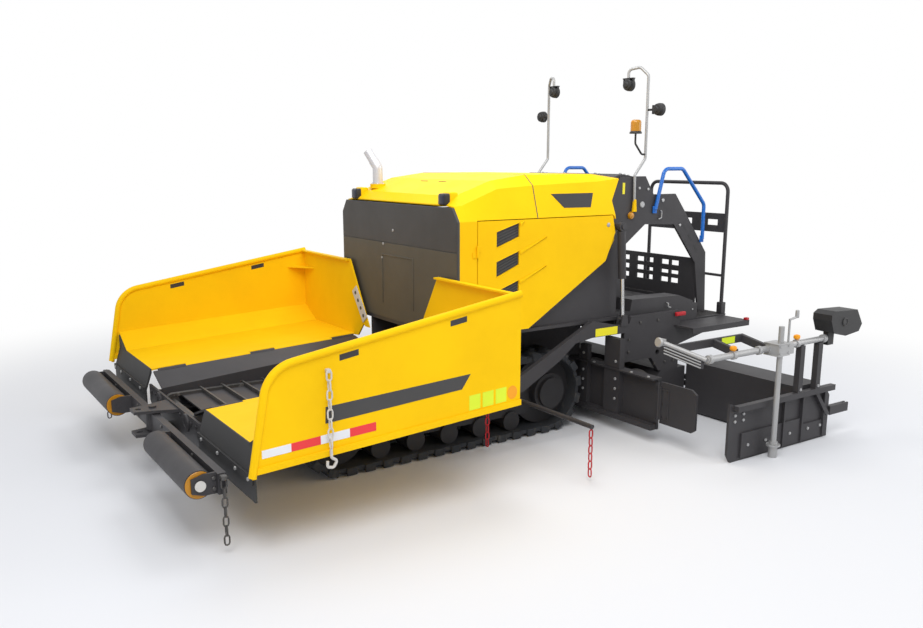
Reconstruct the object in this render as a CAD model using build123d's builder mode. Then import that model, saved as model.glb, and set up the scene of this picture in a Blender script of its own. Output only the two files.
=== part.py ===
from build123d import *
import os
from math import atan2, cos, degrees, hypot, pi, radians, sin, tan

# Small tracked asphalt paver, in millimetres. +X forward, +Y left, +Z up, ground at Z = 0.
os.makedirs("parts", exist_ok=True)

# ------------------------------------------------------------------ shared clearances
SEAT = 0.3          # round faces of neighbouring pieces
RUN = 0.05          # radial clearance of a shaft in its bore
SIDES = (("left", 1), ("right", -1))

# ------------------------------------------------------------------ crawler tracks
TRACK_Y = 580               # centre line of each track
TRACK_W = 300
SPROCKET_X, SPROCKET_R = -520, 330      # radii are out to the lug tips
IDLER_X, IDLER_R = 1270, 280
BELT_T = 35
LUG_H = 25
LUG_W = 78
LUG_COUNT = 42
ROLLER_R = 75
ROLLER_XS = (-190, 95, 380, 665, 950)
RAIL_Y = (500, 650)         # inner and outer face of the roller frame
HUB_R = 118
HUB_Y = 752                 # outer face of the drive hub

# ------------------------------------------------------------------ main frame
PLATE_T = 20
FRAME_Y = 400               # outer face of the frame's side plates
FRAME_REAR, FRAME_NOSE = -1110, 2160
BELLY_Z = 200
WAIST_Z = 500               # top of the side plates under the hopper
DECK_Z = 885                # top of the engine deck
DECK_T = 25
DECK_Y = 830
FIREWALL_X = 440            # front face of the engine bay
GUIDE_X, GUIDE_Y, GUIDE_Z = -60, 1720, 385
HOOK_BAR_X, HOOK_BAR_Y, HOOK_BAR_Z = 200, (812, 908), 410

# ------------------------------------------------------------------ conveyor
CHAIN_Z = 425               # height of the conveyor shafts
CHAIN_R = 60
CHAIN_T = 20
CHAIN_Y = (280, 320)
CONV_FRONT, CONV_REAR = FRAME_NOSE - 70, -960
SLAT_PITCH = 155
SLAT_H, SLAT_W = 28, 14
TRAY_T = 10
TRAY_REAR = 500             # rear end of the sloping guards beside the conveyor
GUARD_RISE = 125            # rise of the guards' foot towards the rear, over the tracks

# ------------------------------------------------------------------ hopper wings
FLOOR_FRONT = FRAME_NOSE - 18       # front edge of the wing floors
HOPPER_REAR = 470
FLOOR_SLOPE = 0.0524        # rise of the floor per length, to the rear
HINGE_Y, HINGE_Z = 610, 585         # hinge line at the floor's front edge
KNUCKLE_R = 16
KNUCKLE_L = 200
TRAY_KNUCKLES = (505, 1200, FLOOR_FRONT - 242)     # rear ends of the fixed knuckles
SHEET = 12
FLOOR_IN = 634              # inner edge of the floor, beside the hinge
FLOOR_OUT = 1394            # where the floor turns up
WALL_Y = 1624               # outer face of the side wall
INCLINE_H = 120
WALL_TOP_REAR = 1303
WALL_TOP_SLOPE = -0.1555
RIM_R = 22
RIM_BEND = 200
BACK_IN_TOP = 680           # inner upper corner of the wing's back plate
BACK_IN_LOW = 362
TRACK_NOTCH = ((430, 775), (457, 793), (560, 682))     # clears the track when the wing is folded
WING_CYL_X = FRAME_NOSE - 310
WING_CYL_FOOT = (470, 300)
WING_CYL_EYE = (1180, 535)
LOCK_X = FRAME_NOSE - 380           # chain that holds the wing folded
WING_LUG = 24               # half the room between the lugs

# ------------------------------------------------------------------ push rollers
PUSH_X, PUSH_Z, PUSH_R = FRAME_NOSE + 260, 400, 80
PUSH_Y = (512, 1350)
BEAM_X = (FRAME_NOSE + 125, FRAME_NOSE + 170)
BEAM_Z = (340, 460)
BEAM_Y = 1400
HITCH_X, HITCH_R = FRAME_NOSE + 240, 20
PIVOT_X, PIVOT_R = FRAME_NOSE + 147, 25

# ------------------------------------------------------------------ engine hood
HOOD_FRONT, HOOD_REAR = 440, -1100
HOOD_Y = 870                # widest half-width
HOOD_TOP = 2000
SHELL = 8
DOOR_T = 30
DOOR_FRONT, DOOR_TOP = 270, 1690
DOOR_AXIS_X, DOOR_AXIS_Y = 278, 880
DOOR_HINGES = (1020, 1480)  # feet of the doors' own knuckles
KNUCKLE_H = 40
EXHAUST = (270, -560)
EXHAUST_Z = 1915

# ------------------------------------------------------------------ operator's station
ARCH_Y = 610                # outer face of the arch plates
ARCH_T = 20
PLATFORM_REAR = -2060
PLATFORM_Z = 905
STEP_REAR, STEP_Z = -2455, 776       # lower step behind the platform
TUBE_R = 16

# ------------------------------------------------------------------ augers
AUGER_X, AUGER_Z, AUGER_R = -1270, 300, 150
AUGER_Y = (75, 1090)
AUGER_SHAFT = 30
AUGER_TURNS = 4
FLIGHT_T = 12
FLIGHT_FOOT = 26            # radius of the flight's inner edge, inside the shaft
FLIGHT_STEPS = 12
BOARD_X = (-1060, -1040)    # material retaining boards in front of the augers
BOARD_Z = (100, 490)
BOARD_Y = (420, 1372, 1735)
POST_Y = (830, 1000)        # wide posts below the tow arms
LEAF_X, LEAF_Y = -1032, 1380        # hinge line of each outer leaf
LEAF_Z = (190, 440)

# ------------------------------------------------------------------ screed
TOW_X, TOW_Z = 40, 470
TOW_R = 30
ARM_Y = (860, 900)
ARM_LOW = 760               # underside of the arms ahead of their rear plates
PLATE_LOW = AUGER_Z + AUGER_R + 70       # underside of the rear plates over the augers
WALK_X, WALK_Y, WALK_Z = (-2400, -1700), (820, 1100), 768      # walkways on the arms
SCREED_X = (-1850, -1500)
SCREED_TOP = 400
EXT_X = (-2230, -1868)
EXT_Y = (900, 1965)
EXT_TOP = 445
EXT_STROKE = 850
SLIDE_XS, SLIDE_Z, SLIDE_R = (-1950, -2120), 220, 25        # guide tubes of the extensions
SLIDE_Y = 1000
END_X = (-2270, -1100)
END_T = 20
END_TOP = 400
POST_TOP = 775
GRADE_Z, GRADE_R = 797, 22          # tube of the levelling gear on the posts
GRADE_POST_X = -1500
CRANK_X = GRADE_POST_X - 85          # spindle of the crank, behind the post
LIFT_TOP = (-1075, 1600)
LIFT_EYE = (-1120, 868)
LIFT_Y = 880
LIFT_PIN_R = 18
LIFT_LUG = 18               # half the room between the lugs


FOLD_AXIS = Vector(1, 0, -FLOOR_SLOPE).normalized()         # along each wing's hinge


def floor_z(x):
    """Top of the wing floor above a place along the machine."""
    return HINGE_Z + 15 + (FLOOR_FRONT - x) * FLOOR_SLOPE


def hinge_z(x):
    """Height of the wing's hinge line above a place along the machine."""
    return HINGE_Z + (FLOOR_FRONT - x) * FLOOR_SLOPE


def plate_xz(outline, y_low, y_high, mode=Mode.ADD):
    """A plate with an outline in x and z, between two values of y."""
    with BuildSketch(Plane.XZ.offset(-y_high)) as face:
        with BuildLine():
            Polyline(*outline, close=True)
        make_face()
    extrude(face.sketch, amount=y_high - y_low, dir=(0, -1, 0), mode=mode)


def plate_yz(outline, x_low, x_high, mode=Mode.ADD):
    """A plate with an outline in y and z, between two values of x."""
    with BuildSketch(Plane.YZ.offset(x_low)) as face:
        with BuildLine():
            Polyline(*outline, close=True)
        make_face()
    extrude(face.sketch, amount=x_high - x_low, dir=(1, 0, 0), mode=mode)


def plate_xy(outline, z_low, z_high, mode=Mode.ADD):
    """A plate with an outline in x and y, between two heights."""
    with BuildSketch(Plane.XY.offset(z_low)) as face:
        with BuildLine():
            Polyline(*outline, close=True)
        make_face()
    extrude(face.sketch, amount=z_high - z_low, dir=(0, 0, 1), mode=mode)


def block(xs, ys, zs, mode=Mode.ADD):
    """A block between its low and high limits on each axis."""
    middle = ((xs[0] + xs[1]) / 2, (ys[0] + ys[1]) / 2, (zs[0] + zs[1]) / 2)
    with Locations(middle):
        Box(xs[1] - xs[0], ys[1] - ys[0], zs[1] - zs[0], mode=mode)


def rod(start, end, radius, mode=Mode.ADD):
    """A round bar from one point to another."""
    along = Vector(*end) - Vector(*start)
    with BuildSketch(Plane(start, z_dir=along)) as section:
        Circle(radius)
    extrude(section.sketch, amount=along.length, dir=along.normalized(), mode=mode)


def along_route(route, start, ahead, radius, corners):
    """A round tube along a route that starts towards a point ahead."""
    with BuildSketch(Plane(start, z_dir=Vector(*ahead) - Vector(*start))) as section:
        Circle(radius)
    sweep(section.sketch, path=route, transition=corners)


def bent_tube(points, radius, bend):
    """A round tube along straight runs with an arc at each corner."""
    with BuildLine() as route:
        FilletPolyline(*points, radius=bend)
    along_route(route.line, points[0], points[1], radius, Transition.TRANSFORMED)


def mitred_tube(points, radius):
    """A round tube of straight runs, mitred at each corner."""
    with BuildLine() as route:
        Polyline(*points)
    along_route(route.line, points[0], points[1], radius, Transition.RIGHT)


def elbow_tube(points, radius, bend):
    """A round tube with two short mitred pieces round each corner."""
    stops = [Vector(*point) for point in points]
    route = [stops[0]]
    for before, corner, after in zip(stops, stops[1:], stops[2:]):
        back, onward = (before - corner).normalized(), (after - corner).normalized()
        half = radians(back.get_angle(onward)) / 2
        route.append(corner + back * (bend / tan(half)))
        route.append(corner + (back + onward).normalized() * (bend / sin(half) - bend))
        route.append(corner + onward * (bend / tan(half)))
    mitred_tube(route + [stops[-1]], radius)


def band(sign, low, high):
    """Limits of y on one side of the machine."""
    return sorted((sign * low, sign * high))


def other_side(sign):
    """Swap the piece to the right-hand side where asked."""
    if sign < 0:
        mirror(about=Plane.XZ, mode=Mode.REPLACE)


def save(piece, label):
    """Label a finished piece and write it."""
    piece.part.label = label
    export_step(piece.part, f"parts/{label}.step")


# ------------------------------------------------------------------ tracks
SLANT = atan2(IDLER_R - SPROCKET_R, IDLER_X - SPROCKET_X)   # line of the wheel centres
TOP_ANGLE = pi / 2 + 2 * SLANT                              # normal of the upper run


def loop_edges(depth):
    """The track's closed path, a depth inside the lug tips."""
    r_front, r_rear = IDLER_R - depth, SPROCKET_R - depth
    upper = (cos(TOP_ANGLE), sin(TOP_ANGLE))
    Line((SPROCKET_X, depth), (IDLER_X, depth))
    CenterArc((IDLER_X, IDLER_R), r_front, -90, 90 + degrees(TOP_ANGLE))
    Line((IDLER_X + r_front * upper[0], IDLER_R + r_front * upper[1]),
         (SPROCKET_X + r_rear * upper[0], SPROCKET_R + r_rear * upper[1]))
    CenterArc((SPROCKET_X, SPROCKET_R), r_rear, degrees(TOP_ANGLE), 270 - degrees(TOP_ANGLE))


def on_loop(distance, depth):
    """Place and outward angle on the track's path at a distance along it."""
    run = IDLER_X - SPROCKET_X
    r_front, r_rear = IDLER_R - depth, SPROCKET_R - depth
    front_arc = r_front * (pi / 2 + TOP_ANGLE)
    if distance < run:
        return SPROCKET_X + distance, depth, -pi / 2
    distance -= run
    if distance < front_arc:
        angle = -pi / 2 + distance / r_front
        return IDLER_X + r_front * cos(angle), IDLER_R + r_front * sin(angle), angle
    distance -= front_arc
    if distance < run:
        share = distance / run
        x = IDLER_X + (SPROCKET_X - IDLER_X) * share + (IDLER_R - depth) * cos(TOP_ANGLE)
        middle = IDLER_R + (SPROCKET_R - IDLER_R) * share
        reach = r_front + (r_rear - r_front) * share
        return x, middle + reach * sin(TOP_ANGLE), TOP_ANGLE
    angle = TOP_ANGLE + (distance - run) / r_rear
    return SPROCKET_X + r_rear * cos(angle), SPROCKET_R + r_rear * sin(angle), angle


LOOP_LENGTH = 2 * (IDLER_X - SPROCKET_X)
LOOP_LENGTH += (IDLER_R - LUG_H) * (pi / 2 + TOP_ANGLE)
LOOP_LENGTH += (SPROCKET_R - LUG_H) * (1.5 * pi - TOP_ANGLE)
LUG_ROOT = 4                # depth of the lug's foot in the belt

for side, sign in SIDES:
    with BuildPart() as track:
        with BuildSketch(Plane.XZ.offset(-TRACK_Y - TRACK_W / 2)) as loop:
            with BuildLine():
                loop_edges(LUG_H)
            make_face()
            with BuildLine():
                loop_edges(LUG_H + BELT_T)
            make_face(mode=Mode.SUBTRACT)
            for i in range(LUG_COUNT):
                x, z, angle = on_loop((i + 0.5) * LOOP_LENGTH / LUG_COUNT, LUG_H)
                x -= LUG_ROOT * cos(angle)
                z -= LUG_ROOT * sin(angle)
                with Locations(Location((x, z, 0), (0, 0, degrees(angle) - 90))):
                    Trapezoid(LUG_W, LUG_H + LUG_ROOT, 78, align=(Align.CENTER, Align.MIN))
        extrude(amount=TRACK_W)
        other_side(sign)
    save(track, f"track_{side}")

# ------------------------------------------------------------------ roller frames
INNER = LUG_H + BELT_T + SEAT       # depth of the wheels' rims below the lug tips
CARRIER_X, CARRIER_R = 400, 45      # top roller
carrier_level = SPROCKET_X * cos(TOP_ANGLE) + SPROCKET_R * sin(TOP_ANGLE) + SPROCKET_R - INNER - CARRIER_R
CARRIER_Z = (carrier_level - CARRIER_X * cos(TOP_ANGLE)) / sin(TOP_ANGLE)
BEAM_LOW, BEAM_HIGH = 170, 330

for side, sign in SIDES:
    with BuildPart() as running:
        plate_xz(((-330, BEAM_LOW), (1080, BEAM_LOW), (1250, 240), (1250, 310), (1080, BEAM_HIGH),
                  (-430, BEAM_HIGH + 50), (-430, 250)), *RAIL_Y)
        for x in ROLLER_XS:
            rod((x, RAIL_Y[0], INNER + ROLLER_R), (x, RAIL_Y[1] + 20, INNER + ROLLER_R), ROLLER_R)
        rod((CARRIER_X, RAIL_Y[0] + 30, CARRIER_Z), (CARRIER_X, RAIL_Y[1], CARRIER_Z), CARRIER_R)
        block((CARRIER_X - 25, CARRIER_X + 25), (RAIL_Y[0], RAIL_Y[0] + 40), (BEAM_HIGH - 20, CARRIER_Z))
        rod((IDLER_X, RAIL_Y[0] + 20, IDLER_R), (IDLER_X, RAIL_Y[1] - 20, IDLER_R), IDLER_R - INNER)
        rod((IDLER_X, RAIL_Y[0], IDLER_R), (IDLER_X, RAIL_Y[1] + 20, IDLER_R), 62)
        rod((SPROCKET_X, TRACK_Y - 35, SPROCKET_R), (SPROCKET_X, TRACK_Y + 35, SPROCKET_R),
            SPROCKET_R - INNER)
        rod((SPROCKET_X, RAIL_Y[0], SPROCKET_R), (SPROCKET_X, HUB_Y - 30, SPROCKET_R), HUB_R + 30)
        rod((SPROCKET_X, HUB_Y - 30, SPROCKET_R), (SPROCKET_X, HUB_Y, SPROCKET_R), HUB_R)
        for x in (-240, 840):
            block((x, x + 160), (FRAME_Y, RAIL_Y[0]), (BELLY_Z + 20, BELLY_Z + 120))
        other_side(sign)
    save(running, f"track_frame_{side}")

# ------------------------------------------------------------------ main frame
with BuildPart() as frame:
    side_outline = ((FRAME_REAR, BELLY_Z + 60), (-950, BELLY_Z), (1900, BELLY_Z), (FRAME_NOSE, 300),
                    (FRAME_NOSE, WAIST_Z), (FIREWALL_X + 10, WAIST_Z), (FIREWALL_X, WAIST_Z + 10),
                    (FIREWALL_X, DECK_Z - DECK_T), (FRAME_REAR, DECK_Z - DECK_T))
    for y in (FRAME_Y - PLATE_T, -FRAME_Y):
        plate_xz(side_outline, y, y + PLATE_T)
    block((FRAME_REAR, FIREWALL_X), (-DECK_Y, DECK_Y), (DECK_Z - DECK_T, DECK_Z))
    # cross members below the conveyor
    for x in (-900, 300, 1250, 1850):
        block((x, x + 120), (-FRAME_Y + PLATE_T, FRAME_Y - PLATE_T), (BELLY_Z + 10, BELLY_Z + 110))
    # tow point brackets, down from the deck outside the tracks
    for y in (DECK_Y - 35, -DECK_Y):
        plate_xz(((TOW_X - 180, DECK_Z - DECK_T), (TOW_X - 130, TOW_Z - 115), (TOW_X - 60, TOW_Z - 115),
                  (TOW_X + 60, TOW_Z - 60), (TOW_X + 180, DECK_Z - DECK_T)), y, y + 35)
    for y in (DECK_Y, -ARM_Y[1] - 20):
        rod((TOW_X, y, TOW_Z), (TOW_X, y + ARM_Y[1] + 20 - DECK_Y, TOW_Z), TOW_R)
    # front bulkhead and the nose that carries the push beam
    plate_yz(((-598, 500), (-598, 380), (-420, 240), (420, 240), (598, 380), (598, 500)),
             FRAME_NOSE, FRAME_NOSE + 15)
    for z in (BEAM_Z[0] - 28, BEAM_Z[1] + 8):
        plate_xy(((FRAME_NOSE, -150), (PIVOT_X + 20, -85), (HITCH_X + 40, -60), (HITCH_X + 40, 60),
                  (PIVOT_X + 20, 85), (FRAME_NOSE, 150)), z, z + 20)
    with Locations((HITCH_X, 0, BEAM_Z[1] + 18)):
        Cylinder(HITCH_R, 60, mode=Mode.SUBTRACT)
    with Locations((HITCH_X, 0, BEAM_Z[0] - 18)):
        Cylinder(HITCH_R, 60, mode=Mode.SUBTRACT)
    rod((PIVOT_X, 0, BEAM_Z[0] - 28), (PIVOT_X, 0, BEAM_Z[1] + 40), PIVOT_R)
    # guide rods out to both sides below the tow points
    rod((GUIDE_X, DECK_Y - 5, GUIDE_Z), (GUIDE_X, GUIDE_Y, GUIDE_Z), 16)
    rod((GUIDE_X, 5 - DECK_Y, GUIDE_Z), (GUIDE_X, -GUIDE_Y, GUIDE_Z), 16)
    # feet of the wing cylinders
    for y in (FRAME_Y, -FRAME_Y - 95):
        for x in (WING_CYL_X - 40, WING_CYL_X + 22):
            block((x, x + 18), (y, y + 95), (WING_CYL_FOOT[1] - 45, WING_CYL_FOOT[1] + 45))
    for y in (WING_CYL_FOOT[0], -WING_CYL_FOOT[0]):
        foot = Vector(WING_CYL_X, y, WING_CYL_FOOT[1])
        rod(foot - FOLD_AXIS * 30, foot + FOLD_AXIS * 30, 15)
    # short hooked bars in front of the tow points
    for sign in (1, -1):
        near, far = sign * HOOK_BAR_Y[0], sign * HOOK_BAR_Y[1]
        mitred_tube(((TOW_X + 30, near, HOOK_BAR_Z), (HOOK_BAR_X, near, HOOK_BAR_Z),
                     (HOOK_BAR_X, far, HOOK_BAR_Z)), 10)
save(frame, "main_frame")

# ------------------------------------------------------------------ conveyor tray and hinge line
inner = FRAME_Y - PLATE_T


def tray_section(x):
    """Cross-section of the tray with the guards that slope up to the wing hinges."""
    rise = hinge_z(x) - HINGE_Z
    level = WAIST_Z + GUARD_RISE * (FLOOR_FRONT - x) / (FLOOR_FRONT - TRAY_REAR)
    with BuildSketch(Plane.YZ.offset(x)) as section:
        with BuildLine():
            Polyline((-590, 580 + rise), (-inner, level), (-inner, CHAIN_Z + 30),
                     (inner, CHAIN_Z + 30), (inner, level), (590, 580 + rise), (590, 592 + rise),
                     (inner - TRAY_T, level + 12), (inner - TRAY_T, CHAIN_Z + 40),
                     (TRAY_T - inner, CHAIN_Z + 40), (TRAY_T - inner, level + 12),
                     (-590, 592 + rise), close=True)
        make_face()
    return section.sketch


with BuildPart() as tray:
    loft([tray_section(TRAY_REAR), tray_section(FLOOR_FRONT)], ruled=True)
    block((CONV_REAR + CHAIN_R, TRAY_REAR), (-inner, inner), (CHAIN_Z + 30, CHAIN_Z + 40))
    block((CONV_FRONT - CHAIN_R, FLOOR_FRONT + 5), (TRAY_T - inner, inner - TRAY_T), (CHAIN_Z, CHAIN_Z + 60),
          mode=Mode.SUBTRACT)
    for low in TRAY_KNUCKLES:
        high = low + KNUCKLE_L
        for y in (HINGE_Y, -HINGE_Y):
            rod((low, y, hinge_z(low)), (high, y, hinge_z(high)), KNUCKLE_R)
            inward = (y - 28, y - 4) if y > 0 else (y + 4, y + 28)
            plate_xz(((low + 5, hinge_z(low) - 6), (high - 5, hinge_z(high) - 6),
                      (high - 5, hinge_z(high) + 6), (low + 5, hinge_z(low) + 6)), *inward)
save(tray, "conveyor_tray")

with BuildPart() as conveyor:
    for y in (CHAIN_Y[0], -CHAIN_Y[1]):
        with BuildSketch(Plane.XZ.offset(-y - CHAIN_Y[1] + CHAIN_Y[0])) as chain:
            with Locations(((CONV_FRONT + CONV_REAR) / 2, CHAIN_Z)):
                SlotCenterToCenter(CONV_FRONT - CONV_REAR, 2 * CHAIN_R)
                SlotCenterToCenter(CONV_FRONT - CONV_REAR, 2 * (CHAIN_R - CHAIN_T), mode=Mode.SUBTRACT)
        extrude(amount=CHAIN_Y[1] - CHAIN_Y[0])
    for i in range(int((CONV_FRONT - CONV_REAR) / SLAT_PITCH)):
        x = CONV_REAR + 40 + i * SLAT_PITCH
        foot = CHAIN_R - CHAIN_T + 2
        for zs in ((CHAIN_Z + foot, CHAIN_Z + foot + SLAT_H), (CHAIN_Z - foot - SLAT_H, CHAIN_Z - foot)):
            block((x, x + SLAT_W), (-350, 350), zs)
    for x in (CONV_FRONT, CONV_REAR):
        rod((x, 20 - FRAME_Y, CHAIN_Z), (x, FRAME_Y - 20, CHAIN_Z), 22)
        for y in (CHAIN_Y[0] + 5, -CHAIN_Y[1] + 5):
            with BuildSketch(Plane.XZ.offset(-y - 30)) as sprocket:
                with Locations((x, CHAIN_Z)):
                    RegularPolygon(CHAIN_R - CHAIN_T + 6, 8)
            extrude(sprocket.sketch, amount=30)
save(conveyor, "conveyor_chain")

# ------------------------------------------------------------------ hopper wings
WING_KNUCKLES = [(low + KNUCKLE_L + SEAT, high - SEAT) for low, high in zip(TRAY_KNUCKLES, TRAY_KNUCKLES[1:])]


def wing_front_line(z):
    """Front edge of the side wall at a height, leaning forward as it goes down."""
    return FLOOR_FRONT - 12 + (944 - z) * 0.188


def wing_eye():
    """Pin of the wing cylinder's rod, in the plane of the cylinder's foot across the hinge line."""
    forward = (WING_CYL_EYE[1] - WING_CYL_FOOT[1]) * FLOOR_SLOPE
    return Vector(WING_CYL_X + forward, *WING_CYL_EYE)


CORNER_X = FLOOR_FRONT - 32
FOOT_X = FLOOR_FRONT + 54
CORNER_Z = WALL_TOP_REAR + (CORNER_X - HOPPER_REAR) * WALL_TOP_SLOPE

for side, sign in SIDES:
    with BuildPart() as wing:
        # floor and inclined strip, one folded sheet along the slope of the floor
        with BuildSketch(Plane.YZ.offset(FLOOR_FRONT)) as fold:
            with BuildLine():
                Polyline((FLOOR_IN, HINGE_Z + 3), (FLOOR_OUT + 4, HINGE_Z + 3),
                         (WALL_Y - 4, HINGE_Z + INCLINE_H), (WALL_Y - 4, HINGE_Z + INCLINE_H + 15),
                         (FLOOR_OUT, HINGE_Z + 15), (FLOOR_IN, HINGE_Z + 15), close=True)
            make_face()
        length = FLOOR_FRONT - HOPPER_REAR
        extrude(fold.sketch, amount=length * hypot(1, FLOOR_SLOPE), dir=-FOLD_AXIS)
        # side wall with its rounded front corner
        with BuildSketch(Plane.XZ.offset(-WALL_Y)) as wall:
            with BuildLine():
                Polyline((HOPPER_REAR, 618), (HOPPER_REAR, WALL_TOP_REAR), (CORNER_X, CORNER_Z),
                         (wing_front_line(470), 470), (wing_front_line(470) - 22, 470), (FOOT_X - 6, 514),
                         close=True)
            make_face()
            corner = wall.vertices().sort_by_distance((CORNER_X, -WALL_Y, CORNER_Z))[0]
        extrude(wall.sketch, amount=SHEET)
        edge = wing.part.edges().filter_by(Axis.Y).sort_by_distance((CORNER_X, WALL_Y, CORNER_Z))[0]
        fillet(edge, radius=RIM_BEND)
        rim_y = WALL_Y - SHEET / 2
        bent_tube(((HOPPER_REAR, rim_y, WALL_TOP_REAR), (CORNER_X, rim_y, CORNER_Z),
                   (wing_front_line(480), rim_y, 480)), RIM_R, RIM_BEND)
        # folded lip along the wall's foot
        plate_xz(((FOOT_X, 496), (HOPPER_REAR, 602), (HOPPER_REAR, 636), (FOOT_X, 530)),
                 WALL_Y - 30, WALL_Y + 14)
        # back plate
        low = floor_z(HOPPER_REAR) - SHEET
        plate_yz(((BACK_IN_LOW, 775), *TRACK_NOTCH, (FLOOR_IN, low), (FLOOR_OUT, low),
                  (WALL_Y - 4, low + INCLINE_H), (WALL_Y - 4, WALL_TOP_REAR), (BACK_IN_TOP, WALL_TOP_REAR)),
                 HOPPER_REAR, HOPPER_REAR + SHEET)
        block((HOPPER_REAR, HOPPER_REAR + 45), (BACK_IN_TOP, WALL_Y - 4),
              (WALL_TOP_REAR - SHEET, WALL_TOP_REAR))
        # corner gusset between the wall and the back plate
        plate_xy(((HOPPER_REAR + 5, 1380), (HOPPER_REAR + 5, WALL_Y - 6), (HOPPER_REAR + 180, WALL_Y - 6)),
                 1150, 1160)
        # hinge knuckles and the floor's cylinder lug
        for low, high in WING_KNUCKLES:
            rod((low, HINGE_Y, hinge_z(low)), (high, HINGE_Y, hinge_z(high)), KNUCKLE_R)
            plate_xz(((low + 5, hinge_z(low) + 3), (high - 5, hinge_z(high) + 3),
                      (high - 5, hinge_z(high) + 15), (low + 5, hinge_z(low) + 15)),
                     HINGE_Y + 4, FLOOR_IN + 6)
        for start in (-WING_LUG - 18, WING_LUG):
            with BuildSketch(Plane(wing_eye() + FOLD_AXIS * start, x_dir=(0, 1, 0), z_dir=FOLD_AXIS)) as lug:
                with BuildLine():
                    Polyline((-60, 75), (60, 75), (25, -30), (-25, -30), close=True)
                make_face()
            extrude(lug.sketch, amount=18, dir=FOLD_AXIS)
        other_side(sign)
    save(wing, f"hopper_wing_{side}")
    with BuildPart() as flap:
        plate_xz(((FLOOR_FRONT, HINGE_Z + 15), (FLOOR_FRONT + 8, HINGE_Z + 15), (FOOT_X + 2, 446),
                  (FOOT_X + 2, 325), (FOOT_X - 10, 325), (FOOT_X - 10, 446), (FLOOR_FRONT, HINGE_Z - 15)),
                 FLOOR_IN, 1588)
        plate_yz(((FLOOR_OUT, HINGE_Z + 10), (1588, HINGE_Z + INCLINE_H - 8), (1588, HINGE_Z - 10),
                  (FLOOR_OUT, HINGE_Z - 10)), FLOOR_FRONT, FLOOR_FRONT + 10)
        block((FOOT_X, FOOT_X + 12), (640, 1580), (425, 468))
        other_side(sign)
    save(flap, f"wing_flap_{side}")

# ------------------------------------------------------------------ chains
LINK_P, LINK_R = 54, 5


def link(at, along, flat):
    """One flat-sided chain link, its length along a direction."""
    with BuildSketch(Plane(at, x_dir=along, z_dir=flat)) as ring:
        with BuildLine():
            Polyline((-34, -9), (-24, -19), (24, -19), (34, -9), (34, 9), (24, 19), (-24, 19), (-34, 9),
                     close=True)
        make_face()
        Rectangle(50, 20, mode=Mode.SUBTRACT)
    extrude(ring.sketch, amount=LINK_R, both=True)


def hanging_chain(x, y, z_top, z_low):
    """Links turned in turn, down from a point. Returns the height of the lowest one's foot."""
    count = int((z_top - z_low) / LINK_P)
    for i in range(count):
        flat = (1, 0, 0) if i % 2 else (0, 1, 0)
        link((x, y, z_top - 34 - i * LINK_P), (0, 0, -1), flat)
    return z_top - 68 - (count - 1) * LINK_P


with BuildPart() as marker_chains:
    for sign in (1, -1):
        hanging_chain(GUIDE_X, sign * (GUIDE_Y - 12), GUIDE_Z - 16 - SEAT, 20)
        hanging_chain(HOOK_BAR_X, sign * (HOOK_BAR_Y[1] - 12), HOOK_BAR_Z - 10 - SEAT, 60)
save(marker_chains, "marker_chains")

for side, sign in SIDES:
    with BuildPart() as lock_chain:
        foot = hanging_chain(LOCK_X, WALL_Y + 26, 1010, 560) + 8
        block((LOCK_X - 12, LOCK_X + 12), (WALL_Y, WALL_Y + 30), (990, 1012))
        hook = ((-6, 0), (-6, -40), (-40, -60), (-40, -90), (-10, -110), (20, -100), (32, -70), (16, -70),
                (6, -86), (-14, -86), (-22, -74), (-18, -68), (10, -48), (10, 0))
        plate_xz([(LOCK_X + x, foot + z) for x, z in hook], WALL_Y + 20, WALL_Y + 32)
        other_side(sign)
    save(lock_chain, f"wing_chain_{side}")

# ------------------------------------------------------------------ push beam and rollers
with BuildPart() as beam:
    block(BEAM_X, (-BEAM_Y, BEAM_Y), BEAM_Z)
    rod((PIVOT_X, 0, BEAM_Z[0]), (PIVOT_X, 0, BEAM_Z[1]), 48)
    rod((PIVOT_X, 0, BEAM_Z[0]), (PIVOT_X, 0, BEAM_Z[1]), PIVOT_R + RUN, mode=Mode.SUBTRACT)
    for y in (PUSH_Y[0] - 20, PUSH_Y[1] + 6, -PUSH_Y[0] + 6, -PUSH_Y[1] - 20):
        plate_xz(((BEAM_X[1] - 5, BEAM_Z[0]), (PUSH_X - 20, BEAM_Z[0]), (PUSH_X + 45, PUSH_Z - 40),
                  (PUSH_X + 45, PUSH_Z + 40), (PUSH_X - 20, BEAM_Z[1]), (BEAM_X[1] - 5, BEAM_Z[1])),
                 y, y + 14)
        rod((PUSH_X, y, PUSH_Z), (PUSH_X, y + 14, PUSH_Z), 20 + RUN, mode=Mode.SUBTRACT)
save(beam, "push_beam")

for side, sign in SIDES:
    with BuildPart() as roller:
        rod((PUSH_X, PUSH_Y[0], PUSH_Z), (PUSH_X, PUSH_Y[1], PUSH_Z), PUSH_R)
        rod((PUSH_X, PUSH_Y[0] - 22, PUSH_Z), (PUSH_X, PUSH_Y[1] + 24, PUSH_Z), 20)
        other_side(sign)
    save(roller, f"push_roller_{side}")

with BuildPart() as beam_chains:
    for y in (BEAM_Y, -BEAM_Y - 44):
        block((BEAM_X[0] + 5, BEAM_X[1] - 5), (y, y + 44), (430, 455))
        hanging_chain(BEAM_X[0] + 22, y + 22, 440, 40)
save(beam_chains, "beam_chains")

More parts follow.
